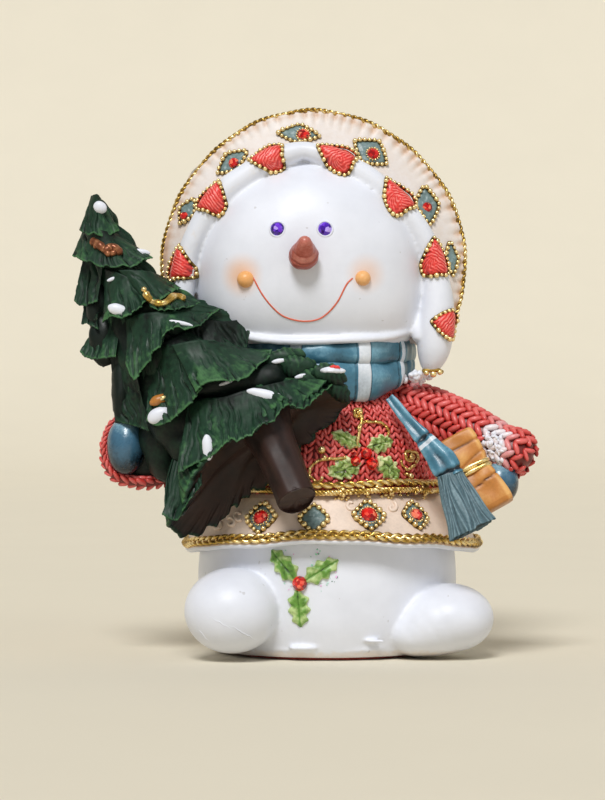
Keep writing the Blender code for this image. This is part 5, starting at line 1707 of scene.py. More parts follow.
class SNOWMAN_OT_scarf(bpy.types.Operator):
    """Wrap the scarf around the neck and hang its end with the fringe"""
    bl_idname = "snowman.scarf"
    bl_label = "Scarf"

    def execute(self, context):
        self.wrap()
        self.hanging_end()
        self.fringe()
        return {"FINISHED"}

    def wrap(self):
        """The thin upper roll and the wide lower fold, crossed by pale stripes."""
        turn = circle(520)
        x = SCARF_X + 20.6 * np.cos(turn)
        front = np.sin(turn) < 0
        rise = np.clip((x - 10.0) / 12.0, 0, 1)
        fall = np.where(front, np.clip((x - 16.5) / 6.0, 0, 1.3), 0.35)
        left = np.where(front, np.clip((6.0 - x) / 14.0, 0, 1), 0.5)
        stripes = ((-64.6, 5.0), (-150, 5), (-235, 5), (-310, 5), (-33.0, 2.4), (-107, 4.0))
        middle = np.stack([65.3 + 0.8 * rise - 0.1 * left, 59.7 + 1.9 * fall ** 1.5], -1)
        half = np.stack([2.4 + 0.5 * rise, 4.3 - 1.5 * fall], -1)
        thick = (2.0, 2.3)
        reach = (18.5, 18.0)
        section = circle(44)
        form = Form()
        for roll in (0, 1):
            c, s = np.cos(section), np.sin(section)
            power = 0.8 if roll == 0 else 0.62
            outward = reach[roll] + thick[roll] * np.sign(c) * np.abs(c) ** power
            up = np.sign(s) * np.abs(s) ** 0.8
            rings = np.stack([SCARF_X + outward[None] * np.cos(turn)[:, None],
                              outward[None] * np.sin(turn)[:, None],
                              middle[:, roll, None] + half[:, roll, None] * up[None]], -1)
            crease = 0.22 * np.sin(turn[:, None] * 23 + 5 * np.sin(turn[:, None] * 3)
                                   + section[None] * (1.2 - roll))
            lumps = 0.5 * wave_noise(rings, 5.0, roll).reshape(rings.shape[:2])
            amount = crease * (0.5 + 0.5 * roll) + lumps
            # Lighter on the lumps, on the creases and on the upper side of each roll: painted highlight; darker in
            # their hollows: painted shade.
            tone = 0.5 + 0.55 * lumps + 0.35 * crease + 0.12 * up[None] + 0 * turn[:, None]
            paints = np.zeros(len(turn), int)
            degrees = np.degrees(turn)
            for middle_at, width in stripes:
                away = (degrees - middle_at + 180) % 360 - 180
                wide = width * (1.0 if roll == 0 else 1.15)
                inside = np.abs(away) < wide / 2 * 1.6
                paints[inside] = 1
                # Each stripe's edge is a groove with painted shade in it.
                edge = bump(np.abs(away), wide / 2 * 1.6 + 0.35, 0.4)
                amount = amount + 0.28 * inside[:, None] - 0.32 * edge[:, None]
                tone = tone - 0.45 * edge[:, None]
            form.skin(shift_out(rings, amount, True), tone, paints, True)
        # A dark ball fills the gap between the rolls: painted shade.
        form.ball((SCARF_X, 0.0, 64.0), (17.6, 17.6, 7.0), 20, 40, tone=0.1)
        settle(form, "scarf_folds", "scarf + stripe", ("scarf_wrap",))

    def hanging_end(self):
        """The narrow strap from the neck to the tie of the fringe."""
        path = smooth_path(STRAP_PATH, 130)
        columns = 40
        rings = tube_rings(path, path[:, 3], columns, flat=0.5)
        a = circle(columns)
        z = path[:, 2, None]
        ridge = 0.22 * np.sin(3 * a + 0.6)[None] * np.ones_like(z)
        pleat = 0.16 * np.sin(7 * a)[None] * np.clip((50 - z) / 10, 0, 1)
        amount = ridge + pleat + 0.25 * wave_noise(rings, 3.0, 5.0).reshape(len(path), columns)
        amount -= 0.5 * bump(z, 40.1, 0.45) + 0.25 * bump(z, 47.3, 0.3)
        # Lighter on the ridges, painted shade in the pleats and in the two pinches.
        tone = 0.5 + amount * 0.8 - 0.35 * bump(z, 40.1, 0.5) - 0.4 * bump(z, 47.3, 0.35)
        form = Form()
        form.skin(shift_out(rings, amount), tone)
        faces = len(path) - 1
        paints = np.zeros((faces, columns), int)
        paints[np.ix_(np.where((path[:-1, 2] < 56.0) & (path[:-1, 2] > 50.6))[0], range(28, 34))] = 1
        cross = (path[:-1, 2] < 46.7) & (path[:-1, 2] > 45.9)
        paints[cross] = 1
        form.paints[:faces * columns] = list(paints.ravel())
        settle(form, "scarf_end", "scarf + stripe", ("scarf_strap",))

    def fringe(self):
        """Strands spreading from the tie, each with its own length."""
        path = smooth_path(FRINGE_PATH, 70)
        columns = 180
        rings = tube_rings(path, path[:, 3], columns, flat=0.42)
        a = circle(columns)
        t = np.linspace(0, 1, len(path))[:, None]
        wander = a[None] + 0.10 * np.sin(a[None] * 5 + 4 * t) + 0.05 * np.sin(a[None] * 13 - 6 * t)
        strand = np.abs(np.sin(wander * 14)) ** 0.6
        fine = 0.5 + 0.5 * np.sin(wander * 43)
        depth = 0.50 * np.clip(t * 3, 0.1, 1)
        amount = depth * (strand - 0.75) + 0.10 * fine * t
        rings = shift_out(rings, amount)
        ends = np.array([noise_of(math.floor(v * 22 / math.tau) * 3.7, 1.0, 0) for v in a])
        rings[:, :, 2] -= (t ** 4) * (0.6 * ends[None] + 0.5 * np.cos(a)[None])
        hollow = rings[-1] * 0.75 + rings[-1].mean(0) * 0.25 + (0, 0, 0.6)
        # Lighter on each strand, painted shade between them and inside the open end.
        tone = np.vstack([0.12 + 0.42 * strand + 0.14 * fine + 0 * t, np.full((1, columns), 0.12)])
        form = Form()
        form.skin(np.concatenate([rings, hollow[None]]), tone)
        settle(form, "scarf_fringe", "fringe", ("scarf_tassel",))


# ---------------------------------------------------------------- arms and parcel
SLEEVE_RIGHT = ((17.5, -1.2, 56.2, 4.4), (19.5, -2.0, 55.5, 4.7), (25.5, -4.2, 53.6, 5.1),
                (33.0, -8.0, 50.2, 5.4), (39.6, -11.2, 47.0, 4.9), (42.6, -12.4, 45.4, 4.7),
                (45.0, -13.4, 44.3, 5.2), (46.9, -14.4, 43.4, 4.9), (48.3, -15.0, 42.6, 3.4),
                (49.0, -15.3, 42.2, 1.0))
SLEEVE_LEFT = ((-15.0, 0.6, 56.4, 4.8), (-17.0, 0.0, 56.0, 5.2), (-24.0, -2.0, 53.0, 5.8),
               (-31.0, -6.0, 48.6, 6.1), (-34.2, -9.4, 45.6, 6.4), (-34.8, -11.4, 44.6, 6.4))
CUFF_LEFT = ((-40.2, -12.4, 50.8, 0.55), (-41.6, -12.8, 49.2, 0.62), (-42.4, -13.2, 46.2, 0.7),
             (-42.3, -13.6, 43.2, 0.8), (-41.2, -13.9, 40.6, 0.95), (-39.2, -14.1, 39.0, 1.05),
             (-36.4, -14.1, 38.2, 1.1), (-33.2, -14.0, 38.0, 1.1), (-30.2, -13.6, 38.4, 1.0),
             (-27.6, -12.6, 39.6, 0.9), (-26.6, -11.6, 42.4, 0.8), (-28.0, -11.2, 46.0, 0.7),
             (-31.6, -11.2, 49.6, 0.6), (-36.0, -11.6, 51.4, 0.55))
PARCEL_FOOT = (40.5, -21.8, 32.0)
PARCEL_TOP = (31.9, -18.4, 47.4)
PARCEL_TIE = 0.53
PARCEL_SECTIONS = ((0.0, 4.2, 2.3), (0.02, 4.8, 2.9), (0.12, 4.9, 3.1), (0.36, 4.6, 3.3), (0.48, 4.1, 3.0),
                   (0.53, 3.9, 2.9), (0.58, 4.2, 3.0), (0.68, 4.6, 3.2), (0.86, 4.7, 3.2), (0.96, 4.5, 3.0),
                   (0.99, 4.2, 2.7), (1.0, 3.8, 2.3))


def knit_sleeve(name, ground_name, nodes, ground_nodes, path, size, rng, frost=None, seed=31):
    """A knitted tube: a dark ground and columns of stitches that follow the arm."""
    fine = smooth_path(path, 160)
    ground = Form()
    ground.tube(fine, np.maximum(fine[:, 3] - 0.75, 0.3), 36, 0.4, towards=FRONT)
    settle(ground, ground_name, "knit ground", ground_nodes)
    run = run_along(fine[:, :3])
    pitch = size["sleeve_stitch_pitch"]
    columns = round(math.tau * SLEEVE_RADIUS / size["sleeve_stitch_width"])
    placing = Placing()
    for j in range(columns):
        at = np.arange(0.4 + 0.9 * (j % 2), run[-1] - 0.2, pitch)
        row = read_at(at, run, fine)
        along = unit(np.gradient(row[:, :3], axis=0))
        side = unit(np.cross(along, FRONT))
        front = np.cross(side, along)
        a = math.tau * (j + 0.5) / columns
        out = side * math.cos(a) + front * math.sin(a)
        across = -side * math.sin(a) + front * math.cos(a)
        spine = row[:, :3] + out * (row[:, 3:] - 0.35)
        along = unit(np.gradient(spine, axis=0))
        out = unit(np.cross(across, along) * -1)
        out = np.where(np.sum(out * (spine - row[:, :3]), 1, keepdims=True) < 0, -out, out)
        width = math.tau * row[:, 3] / columns
        keep = row[:, 3] > 0.9
        knit_column(placing, spine[keep], out[keep], -along[keep], across[keep], width[keep], pitch, rng,
                    frost)
    placing.grow(name, stitch_shape(), "knit", nodes, unevenness=0.06, seed=seed)


class SNOWMAN_OT_arms(bpy.types.Operator):
    """Knit both sleeves with their cuffs and shape the mittens"""
    bl_idname = "snowman.arms"
    bl_label = "Arms"

    def execute(self, context):
        size = sizes()
        rng = np.random.default_rng(7)

        def frost(place):
            """How white a stitch is: snow lies on the cuff and where the roll meets the shoulder."""
            x, _, z = place
            cuff = math.exp(-(((x - 41.2) / 2.9) ** 2 + ((z - 46.0) / 4.4) ** 2) ** 3)
            shoulder = 0.7 * math.exp(-(((x - 25.4) / 2.2) ** 2 + ((z - 60.0) / 1.6) ** 2) ** 2)
            return max(cuff, shoulder)

        knit_sleeve("sleeve_knit_right", "sleeve_ground_right", ("sleeve_right",), ("cuff_right",),
                    SLEEVE_RIGHT, size,
                    rng, frost)
        knit_sleeve("sleeve_knit_left", "sleeve_ground_left", (), ("sleeve_left",), SLEEVE_LEFT, size, rng,
                    seed=32)
        self.left_cuff()
        self.mittens()
        self.shoulder_snow()
        return {"FINISHED"}

    def left_cuff(self):
        """A plaited ring around the left mitten, thicker at its foot."""
        ring = smooth_path(CUFF_LEFT, 220, closed=True)
        path, thick = ring[:, :3], ring[:, 3]
        out = unit(path - path.mean(0) + (0, -4.0, 0))
        ground = Form()
        ground.tube(path, thick * 1.15, 20, 0.4, loop=True)
        settle(ground, "cuff_ground_left", "knit ground", ("cuff_left",))
        along = unit(np.roll(path, -1, 0) - np.roll(path, 1, 0))
        rng = np.random.default_rng(12)
        placing = Placing()
        total = run_along(path)
        place_at = 0.0
        while place_at < total[-1] - 0.5:
            i = int(np.searchsorted(total, place_at))
            w = thick[i] * 2.9
            o, t = out[i], along[i]
            e = unit(np.cross(o, t))
            spot = path[i] + o * thick[i] * 0.75
            knit_column(placing, [spot], [o], [t], [e], [w], 0.5 + thick[i] * 1.15, rng)
            for sign in (-1, 1):
                edge = path[i] + e * sign * thick[i] * 0.95 + o * thick[i] * 0.1
                placing.put(edge, unit(t + e * sign * 0.2), e * sign,
                            (1.1 * thick[i], 0.5 * thick[i], 0.5 * thick[i]),
                            rng.random())
            place_at += 0.5 + thick[i] * 1.15
        placing.grow("cuff_plait_left", stitch_shape(), "knit", unevenness=0.08, seed=14)

    def mittens(self):
        """Glossy blue mittens, lighter toward the top and darker at the sides: painted highlight and painted shade."""
        for name, node, centre, radii, seed in (
                ("mitten_skin_left", "mitten_left", (-37.8, -14.8, 45.6), (4.2, 4.8, 6.3), 2.0),
                ("mitten_skin_right", "mitten_right", (42.4, -15.0, 37.8), (4.0, 4.0, 4.6), 6.0)):
            form = Form()
            form.ball(centre, radii, 34, 44, 0.05, seed=seed)
            points = np.vstack(form.points)
            rise = (points[:, 2] - centre[2]) / radii[2]
            side = (points[:, 0] - centre[0]) / radii[0]
            # Painted highlight on top, painted shade at the sides.
            form.tones = [np.clip(0.42 + 0.40 * rise - 0.25 * side ** 2, 0, 1)]
            settle(form, name, "mitten", (node,))

    def shoulder_snow(self):
        """Small clumps of snow where the roll meets the shoulder, and crumbs of it on the right cuff."""
        form = Form()
        sleeve = Skin("sleeve_knit_right")
        rng = np.random.default_rng(17)
        for _ in range(26):
            x, z = 24.6 + rng.normal(0, 1.1), 60.5 + rng.normal(0, 0.6)
            form.ball((x, -9.8 + rng.normal(0, 0.7), z), 0.45 + 0.55 * rng.random(3), 7, 10, 0.2, 0.75,
                      seed=x)
        for _ in range(46):
            u, v = np.clip(rng.normal(0, 1.0, 2), -1.6, 1.6) * (1.2, 1.7)
            place, normal = sleeve.front(40.6 + u, 45.6 + v - 0.2 * u)
            form.ball(place - normal * 0.1, 0.25 + 0.5 * rng.random(3), 6, 9, 0.25, 0.7, seed=u)
        settle(form, "shoulder_snow", "snow")


class SNOWMAN_OT_parcel(bpy.types.Operator):
    """Wrap the parcel in creased paper and tie it with its double ribbon"""
    bl_idname = "snowman.parcel"
    bl_label = "Parcel"

    def execute(self, context):
        foot, top = np.array(PARCEL_FOOT), np.array(PARCEL_TOP)
        along = unit(top - foot)
        side = unit(np.cross(along, (0, 1, 0)))
        front = np.cross(side, along)
        profile = smooth_path(PARCEL_SECTIONS, 110)
        columns = 88
        a = circle(columns)
        c, s = np.cos(a), np.sin(a)
        power = 9.0
        reach = (np.abs(c) ** power + np.abs(s) ** power) ** (-1 / power)
        rings, tones = [], []
        for t, half_width, half_depth in profile:
            u, v = c * reach * half_width, s * reach * half_depth
            tilt = t + 0.02 * c
            crease = (0.34 * bump(tilt, 0.325 - 0.03 * c, 0.012) + 0.34 * bump(tilt, 0.83 + 0.02 * c, 0.012)
                      + 0.18 * bump(tilt, 0.62 - 0.06 * c, 0.015))
            pucker = 0.16 * np.sin(a * 9 + 2 * np.sin(a * 2)) * bump(t, PARCEL_TIE, 0.07)
            ring = foot + (top - foot) * t + side * u[:, None] + front * v[:, None]
            out = unit(side * c[:, None] + front * s[:, None])
            dent = 0.35 * np.array([noise_of(x * 0.3, t * 5, y * 0.3) for x, y in zip(u, v)])
            rings.append(ring + out * (pucker - crease + dent)[:, None])
            # Tone: painted shade in the creases and at the foot, painted highlight on the puckers, the dents that
            # bulge and along the corners.
            edge = np.abs(np.abs(c) - np.abs(s)) < 0.12
            tones.append(0.5 - 1.5 * crease + 0.8 * pucker + 0.5 * dent + 0.22 * edge - 0.12 * (t < 0.06))
        form = Form()
        form.skin(rings, tones)
        settle(form, "parcel_paper", "wrapping", ("parcel",), sharp=50)
        self.ribbon(foot, top, along, side, front)
        return {"FINISHED"}

    def ribbon(self, foot, top, along, side, front):
        """Two gold strands lying side by side around the waist of the parcel, with a thin dark strand of painted shade
        between them.
        """
        a = circle(90)
        reach = (np.abs(np.cos(a)) ** 4 + np.abs(np.sin(a)) ** 4) ** -0.25
        form = Form()
        # The thin middle strand, toned dark, is painted shade between the two.
        for shift, tone, thick in ((-0.52, 0.66, 0.5), (0.0, 0.2, 0.3), (0.52, 0.72, 0.5)):
            ring = (foot + (top - foot) * PARCEL_TIE + along * (shift + 0.12 * np.sin(3 * a)[:, None])
                    + side * (np.cos(a) * reach * 4.2)[:, None] + front * (np.sin(a) * reach * 3.2)[:, None])
            rings = tube_rings(ring, thick * (1 + 0.08 * np.sin(7 * a)), 12, loop=True, towards=along)
            form.skin(rings, tone + 0.1 * np.sin(7 * a)[:, None], loop=True)
        settle(form, "parcel_cords", "gold", ("parcel_ribbon",))


# ---------------------------------------------------------------- fir tree
# The inner tiers, top to bottom: front edge from left to right (x, z), y of its left and right ends,
# how far it bulges forward, how far its back edge goes behind, and its hidden top (x, y, z, radius).
TIERS = (
    (((-48.1, 92.4), (-46.4, 90.7), (-44.4, 92.0), (-42.3, 90.3), (-41.0, 91.2), (-39.5, 91.6)),
     -13.0, -13.8, 3.0, 4.0, (-43.7, -12.0, 98.6, 0.7)),
    (((-49.2, 86.3), (-47.3, 85.0), (-45.2, 84.6), (-42.3, 83.2), (-41.1, 84.9), (-38.9, 83.0), (-36.4, 83.6),
      (-34.2, 84.5), (-32.3, 86.2)), -12.5, -15.0, 5.0, 5.0, (-43.8, -12.5, 93.8, 2.2)),
    (((-48.5, 77.2), (-47.1, 75.3), (-44.9, 76.9), (-42.2, 73.4), (-39.4, 74.6), (-36.2, 73.2), (-33.6, 75.7),
      (-30.0, 77.2), (-27.9, 77.8), (-26.2, 79.8)), -12.5, -16.0, 8.0, 6.0, (-41.6, -14.0, 88.0, 3.6)),
    (((-47.0, 66.9), (-45.4, 64.2), (-42.6, 65.6), (-40.2, 65.0), (-38.0, 63.6), (-36.6, 60.9), (-35.4, 58.9),
      (-33.3, 61.4), (-31.3, 64.2), (-29.9, 66.9), (-27.5, 69.8), (-24.9, 71.4), (-23.0, 74.0),
      (-21.6, 76.5)),
     -14.5, -17.0, 13.0, 7.0, (-38.8, -16.0, 80.5, 4.6)),
    (((-43.0, 68.0), (-38.0, 65.6), (-33.0, 64.4), (-28.4, 66.6), (-24.6, 68.0), (-22.0, 70.0), (-19.6, 70.6),
      (-18.0, 72.4), (-17.3, 75.2)), -15.5, -18.6, 11.0, 7.0, (-35.6, -17.5, 76.4, 6.0)),
    (((-40.5, 63.5), (-34.0, 60.0), (-27.0, 61.8), (-21.0, 64.6), (-18.6, 67.0), (-16.0, 66.0), (-13.4, 67.4),
      (-11.8, 66.6), (-10.8, 69.6), (-11.0, 73.2)), -16.0, -21.0, 10.0, 8.0, (-32.0, -19.0, 72.6, 7.2)),
    (((-39.4, 61.0), (-39.6, 54.0), (-38.8, 50.8), (-36.1, 49.9), (-33.6, 51.4), (-31.6, 50.4), (-29.6, 49.6),
      (-27.0, 51.2), (-25.0, 52.6), (-23.3, 55.6), (-21.8, 58.3), (-19.6, 58.4), (-16.8, 59.4), (-13.0, 60.8),
      (-9.7, 62.7), (-7.0, 66.6)), -18.5, -26.0, 12.0, 8.0, (-29.5, -20.5, 68.5, 8.0)),
    (((-28.9, 31.4), (-27.4, 30.4), (-25.4, 30.6), (-24.2, 35.1), (-23.4, 39.4), (-22.1, 41.4), (-20.2, 43.2),
      (-18.2, 45.5), (-15.9, 46.0), (-14.2, 47.6), (-12.3, 47.3), (-10.9, 48.9), (-9.2, 49.3), (-7.6, 51.9),
      (-5.7, 53.0), (-4.0, 55.4), (-2.6, 54.0), (-1.3, 53.5), (0.5, 56.0), (3.0, 57.0), (5.5, 60.0),
      (9.2, 58.2)),
     -33.0, -29.0, 7.0, 0.0, (-19.5, -18.0, 55.0, 5.0)),
)
# Branches as drawn from the front, in drawing units: the edge and then the root, each from left to right,
# the depths of its edge at left, middle and right in mm, how much deeper its root is, and a change of tone (painted
# shade where below zero, painted light where above).
BRANCHES = (
    (((79, 229), (81, 231), (83, 231), (88, 234), (93, 232), (99, 236), (107, 236), (112, 233), (119, 231)),
     ((91, 196), (97, 194), (100, 197)),
     (-13.5, -16.8, -13.8), 1.6, 0),
    (((72, 255), (78, 258), (84, 261), (90, 260), (95, 264), (100, 266), (106, 264), (111, 267), (117, 266),
     (123, 264), (130, 267), (136, 264), (143, 260), (152, 257)),
     ((83, 230), (95, 230), (106, 231), (119, 234)),
     (-12.5, -19.5, -14.5), 3, 0),
    (((74, 299), (79, 303), (84, 306), (90, 303), (97, 300)),
     ((83, 258), (93, 258), (104, 260)),
     (-12, -14, -17), 2, -0.12),
    (((103, 322), (107, 318), (112, 316), (119, 317), (126, 315), (132, 311), (138, 308), (142, 303),
      (147, 299)),
     ((104, 268), (116, 272), (128, 277), (138, 284)),
     (-19, -23.5, -22.5), 4, 0),
    (((144, 299), (152, 297), (160, 300), (166, 295), (172, 291), (180, 287)),
     ((118, 270), (136, 270), (152, 272), (168, 279)),
     (-22.5, -23, -17), 3.5, 0.05),
    (((81, 322), (86, 322), (91, 325), (97, 329)),
     ((84, 300), (98, 300)),
     (-13, -14.5, -17), 2, -0.15),
    (((150, 307), (160, 310), (170, 309), (180, 307), (190, 306), (200, 302)),
     ((146, 298), (162, 299), (178, 294), (190, 297)),
     (-23.5, -24, -17.5), 2.6, -0.05),
    (((81, 350), (84, 355), (92, 358), (104, 357), (116, 356)),
     ((96, 324), (106, 322), (120, 322)),
     (-14, -17, -19.5), 2.5, -0.06),
    (((190, 338), (205, 340), (222, 343), (236, 346), (246, 348), (248, 338), (251, 327)),
     ((192, 322), (205, 319), (221, 321), (236, 320), (250, 317)),
     (-23, -22, -18), 1.5, -0.42),
    (((126, 362), (129, 372), (134, 380), (139, 373), (144, 366), (151, 358), (151, 352), (156, 349),
     (161, 343), (163, 336), (168, 330), (173, 327), (180, 326), (187, 329), (192, 327), (198, 324),
     (204, 320), (211, 314), (221, 309)),
     ((126, 318), (140, 314), (154, 312), (170, 311), (188, 308), (206, 306)),
     (-23.5, -28.5, -20), 4.5, 0),
    (((116, 420), (125, 423), (138, 426), (148, 430)),
     ((110, 354), (122, 356), (134, 362)),
     (-18, -21, -25), 2, -0.22),
    (((146, 420), (152, 424), (161, 425), (171, 421), (178, 413), (185, 407), (190, 402), (196, 396),
      (202, 387)),
     ((150, 346), (162, 344), (176, 346), (184, 356)),
     (-26, -31.5, -33.5), 5, -0.05),
    (((196, 392), (200, 386), (208, 382), (215, 380), (222, 381), (231, 380), (240, 379), (248, 375),
     (255, 370), (262, 362), (268, 356), (271, 349)),
     ((172, 345), (190, 341), (205, 340), (222, 344), (240, 347), (258, 349)),
     (-34, -33.5, -24), 5.5, 0.05),
    (((162, 513), (168, 517), (177, 520), (184, 508), (192, 495), (201, 482)),
     ((179, 468), (190, 465), (202, 461)),
     (-33, -34.5, -35.5), 2.5, -0.02),
    (((177, 472), (184, 468), (191, 464), (198, 460), (208, 457), (217, 451), (221, 446), (226, 442),
     (231, 438), (236, 441), (241, 438), (247, 435), (252, 434), (256, 428), (262, 422), (272, 420),
     (278, 414), (283, 407), (290, 403), (296, 406), (301, 408), (308, 404), (315, 398), (322, 392),
      (332, 384)),
     ((188, 402), (205, 398), (222, 397), (242, 391), (262, 386), (284, 381), (304, 378), (322, 379)),
     (-34, -38, -30), 6, 0),
)
LAST_BACK = ((9.4, 54.8), (5.2, 50.7), (3.1, 48.4), (-0.5, 45.0), (-6.9, 39.2), (-10.9, 36.4), (-14.5, 32.8),
             (-18.5, 30.0), (-22.5, 27.0), (-25.7, 26.4), (-28.4, 28.6))
TRUNK = ((-8.2, -28.2, 51.0, 6.2), (-7.0, -29.4, 48.4, 5.3), (-5.4, -31.0, 44.8, 4.6),
         (-3.2, -33.3, 39.8, 4.2), (-1.5, -35.2, 35.6, 4.1), (-1.2, -35.6, 34.9, 3.9))
# Dark lumps of painted shade that close the gaps between the tiers: middle and half sizes
FILLINGS = (((-33.4, -13.0, 42.6), (6.8, 2.6, 4.6)), ((-16.6, -25.0, 58.8), (9.4, 4.4, 3.8)),
            ((-44.2, -12.5, 75.0), (2.5, 2.2, 5.4)), ((-42.8, -13.5, 68.0), (3.2, 2.4, 5.6)),
            ((-38.6, -15.5, 57.0), (2.4, 3.4, 9.0)), ((-21.0, -15.5, 70.4), (6.4, 3.0, 2.8)),
            ((-9.0, -25.0, 60.0), (7.0, 4.0, 3.4)))
# Curled branch ends near the scarf: x, y, z, half length, half height, turn in degrees, seed
LOBES = ((-4.4, -24.5, 64.0, 4.4, 2.2, 12, 41), (-0.9, -25.6, 62.2, 4.6, 2.4, -6, 42),
         (5.6, -28.6, 60.8, 3.6, 2.2, -14, 43), (7.2, -27.4, 57.6, 3.6, 1.9, -38, 44),
         (2.2, -27.0, 60.0, 4.0, 2.0, 24, 45))
# Garland scraps: points, radius and paint
GARLANDS = ((((-45.2, 89.4), (-43.8, 88.9), (-42.0, 87.4), (-40.6, 88.2), (-38.6, 86.6)), 0.85, "copper"),
            (((-44.6, 88.4), (-43.0, 88.0), (-41.4, 86.6), (-39.8, 87.0)), 0.6, "copper"),
            (((-33.5, 78.4), (-32.4, 76.8), (-30.6, 75.8), (-28.9, 76.0), (-27.4, 77.4), (-26.0, 77.3),
              (-24.9, 76.6)), 0.78, "gold"))
# Dabs of snow: x, z, half width, half height, turn in degrees
SNOW_DABS = ((-43.4, 96.7, 1.3, 1.5, 60), (-34.6, 87.2, 1.9, 0.7, -8), (-39.2, 74.6, 2.2, 1.2, -15),
             (-40.6, 81.2, 1.2, 0.4, 20), (-30.0, 52.2, 2.7, 1.7, 22), (-7.2, 56.3, 4.6, 1.15, -14),
             (-19.6, 45.6, 1.15, 2.7, 5), (-5.0, 63.6, 1.5, 0.5, 10), (-0.4, 60.4, 1.3, 0.45, 15),
             (-25.6, 71.6, 2.6, 0.45, -12), (-16.0, 59.0, 1.8, 0.35, 20))


def skirt_edge(front, left_y, right_y, bulge, back_depth, count, back=None):
    """A closed edge: the given front from left to right, then around behind."""
    front = np.asarray(front, float)
    run = run_along(front)
    run /= run[-1]
    y = left_y + (right_y - left_y) * run - bulge * np.sin(math.pi * run) ** 0.75
    front = np.stack([front[:, 0], y, front[:, 1]], -1)
    if back is None:
        middle, reach = (front[0] + front[-1]) / 2, (front[-1] - front[0]) / 2
        a = np.linspace(0, math.pi, 13)[1:-1, None]
        scallop = 1 + 0.08 * np.cos(a * 9)
        back = middle + reach * np.cos(a) * scallop + (0, back_depth, 1.0) * np.sin(a) * scallop
    else:
        back = np.asarray(back, float)
        s = np.linspace(0, 1, len(back))
        back = np.stack([back[:, 0], right_y + 5.5 + (left_y + 8.0 - right_y - 5.5) * s, back[:, 1]], -1)
    loop = np.vstack([front, back, front[:1]])
    run = run_along(loop)
    at = np.linspace(0, run[-1], count, endpoint=False)
    edge = read_at(at, run, loop)
    for _ in range(2):
        edge = (np.roll(edge, 1, 0) + 3 * edge + np.roll(edge, -1, 0)) / 5
    return edge, run[-1]


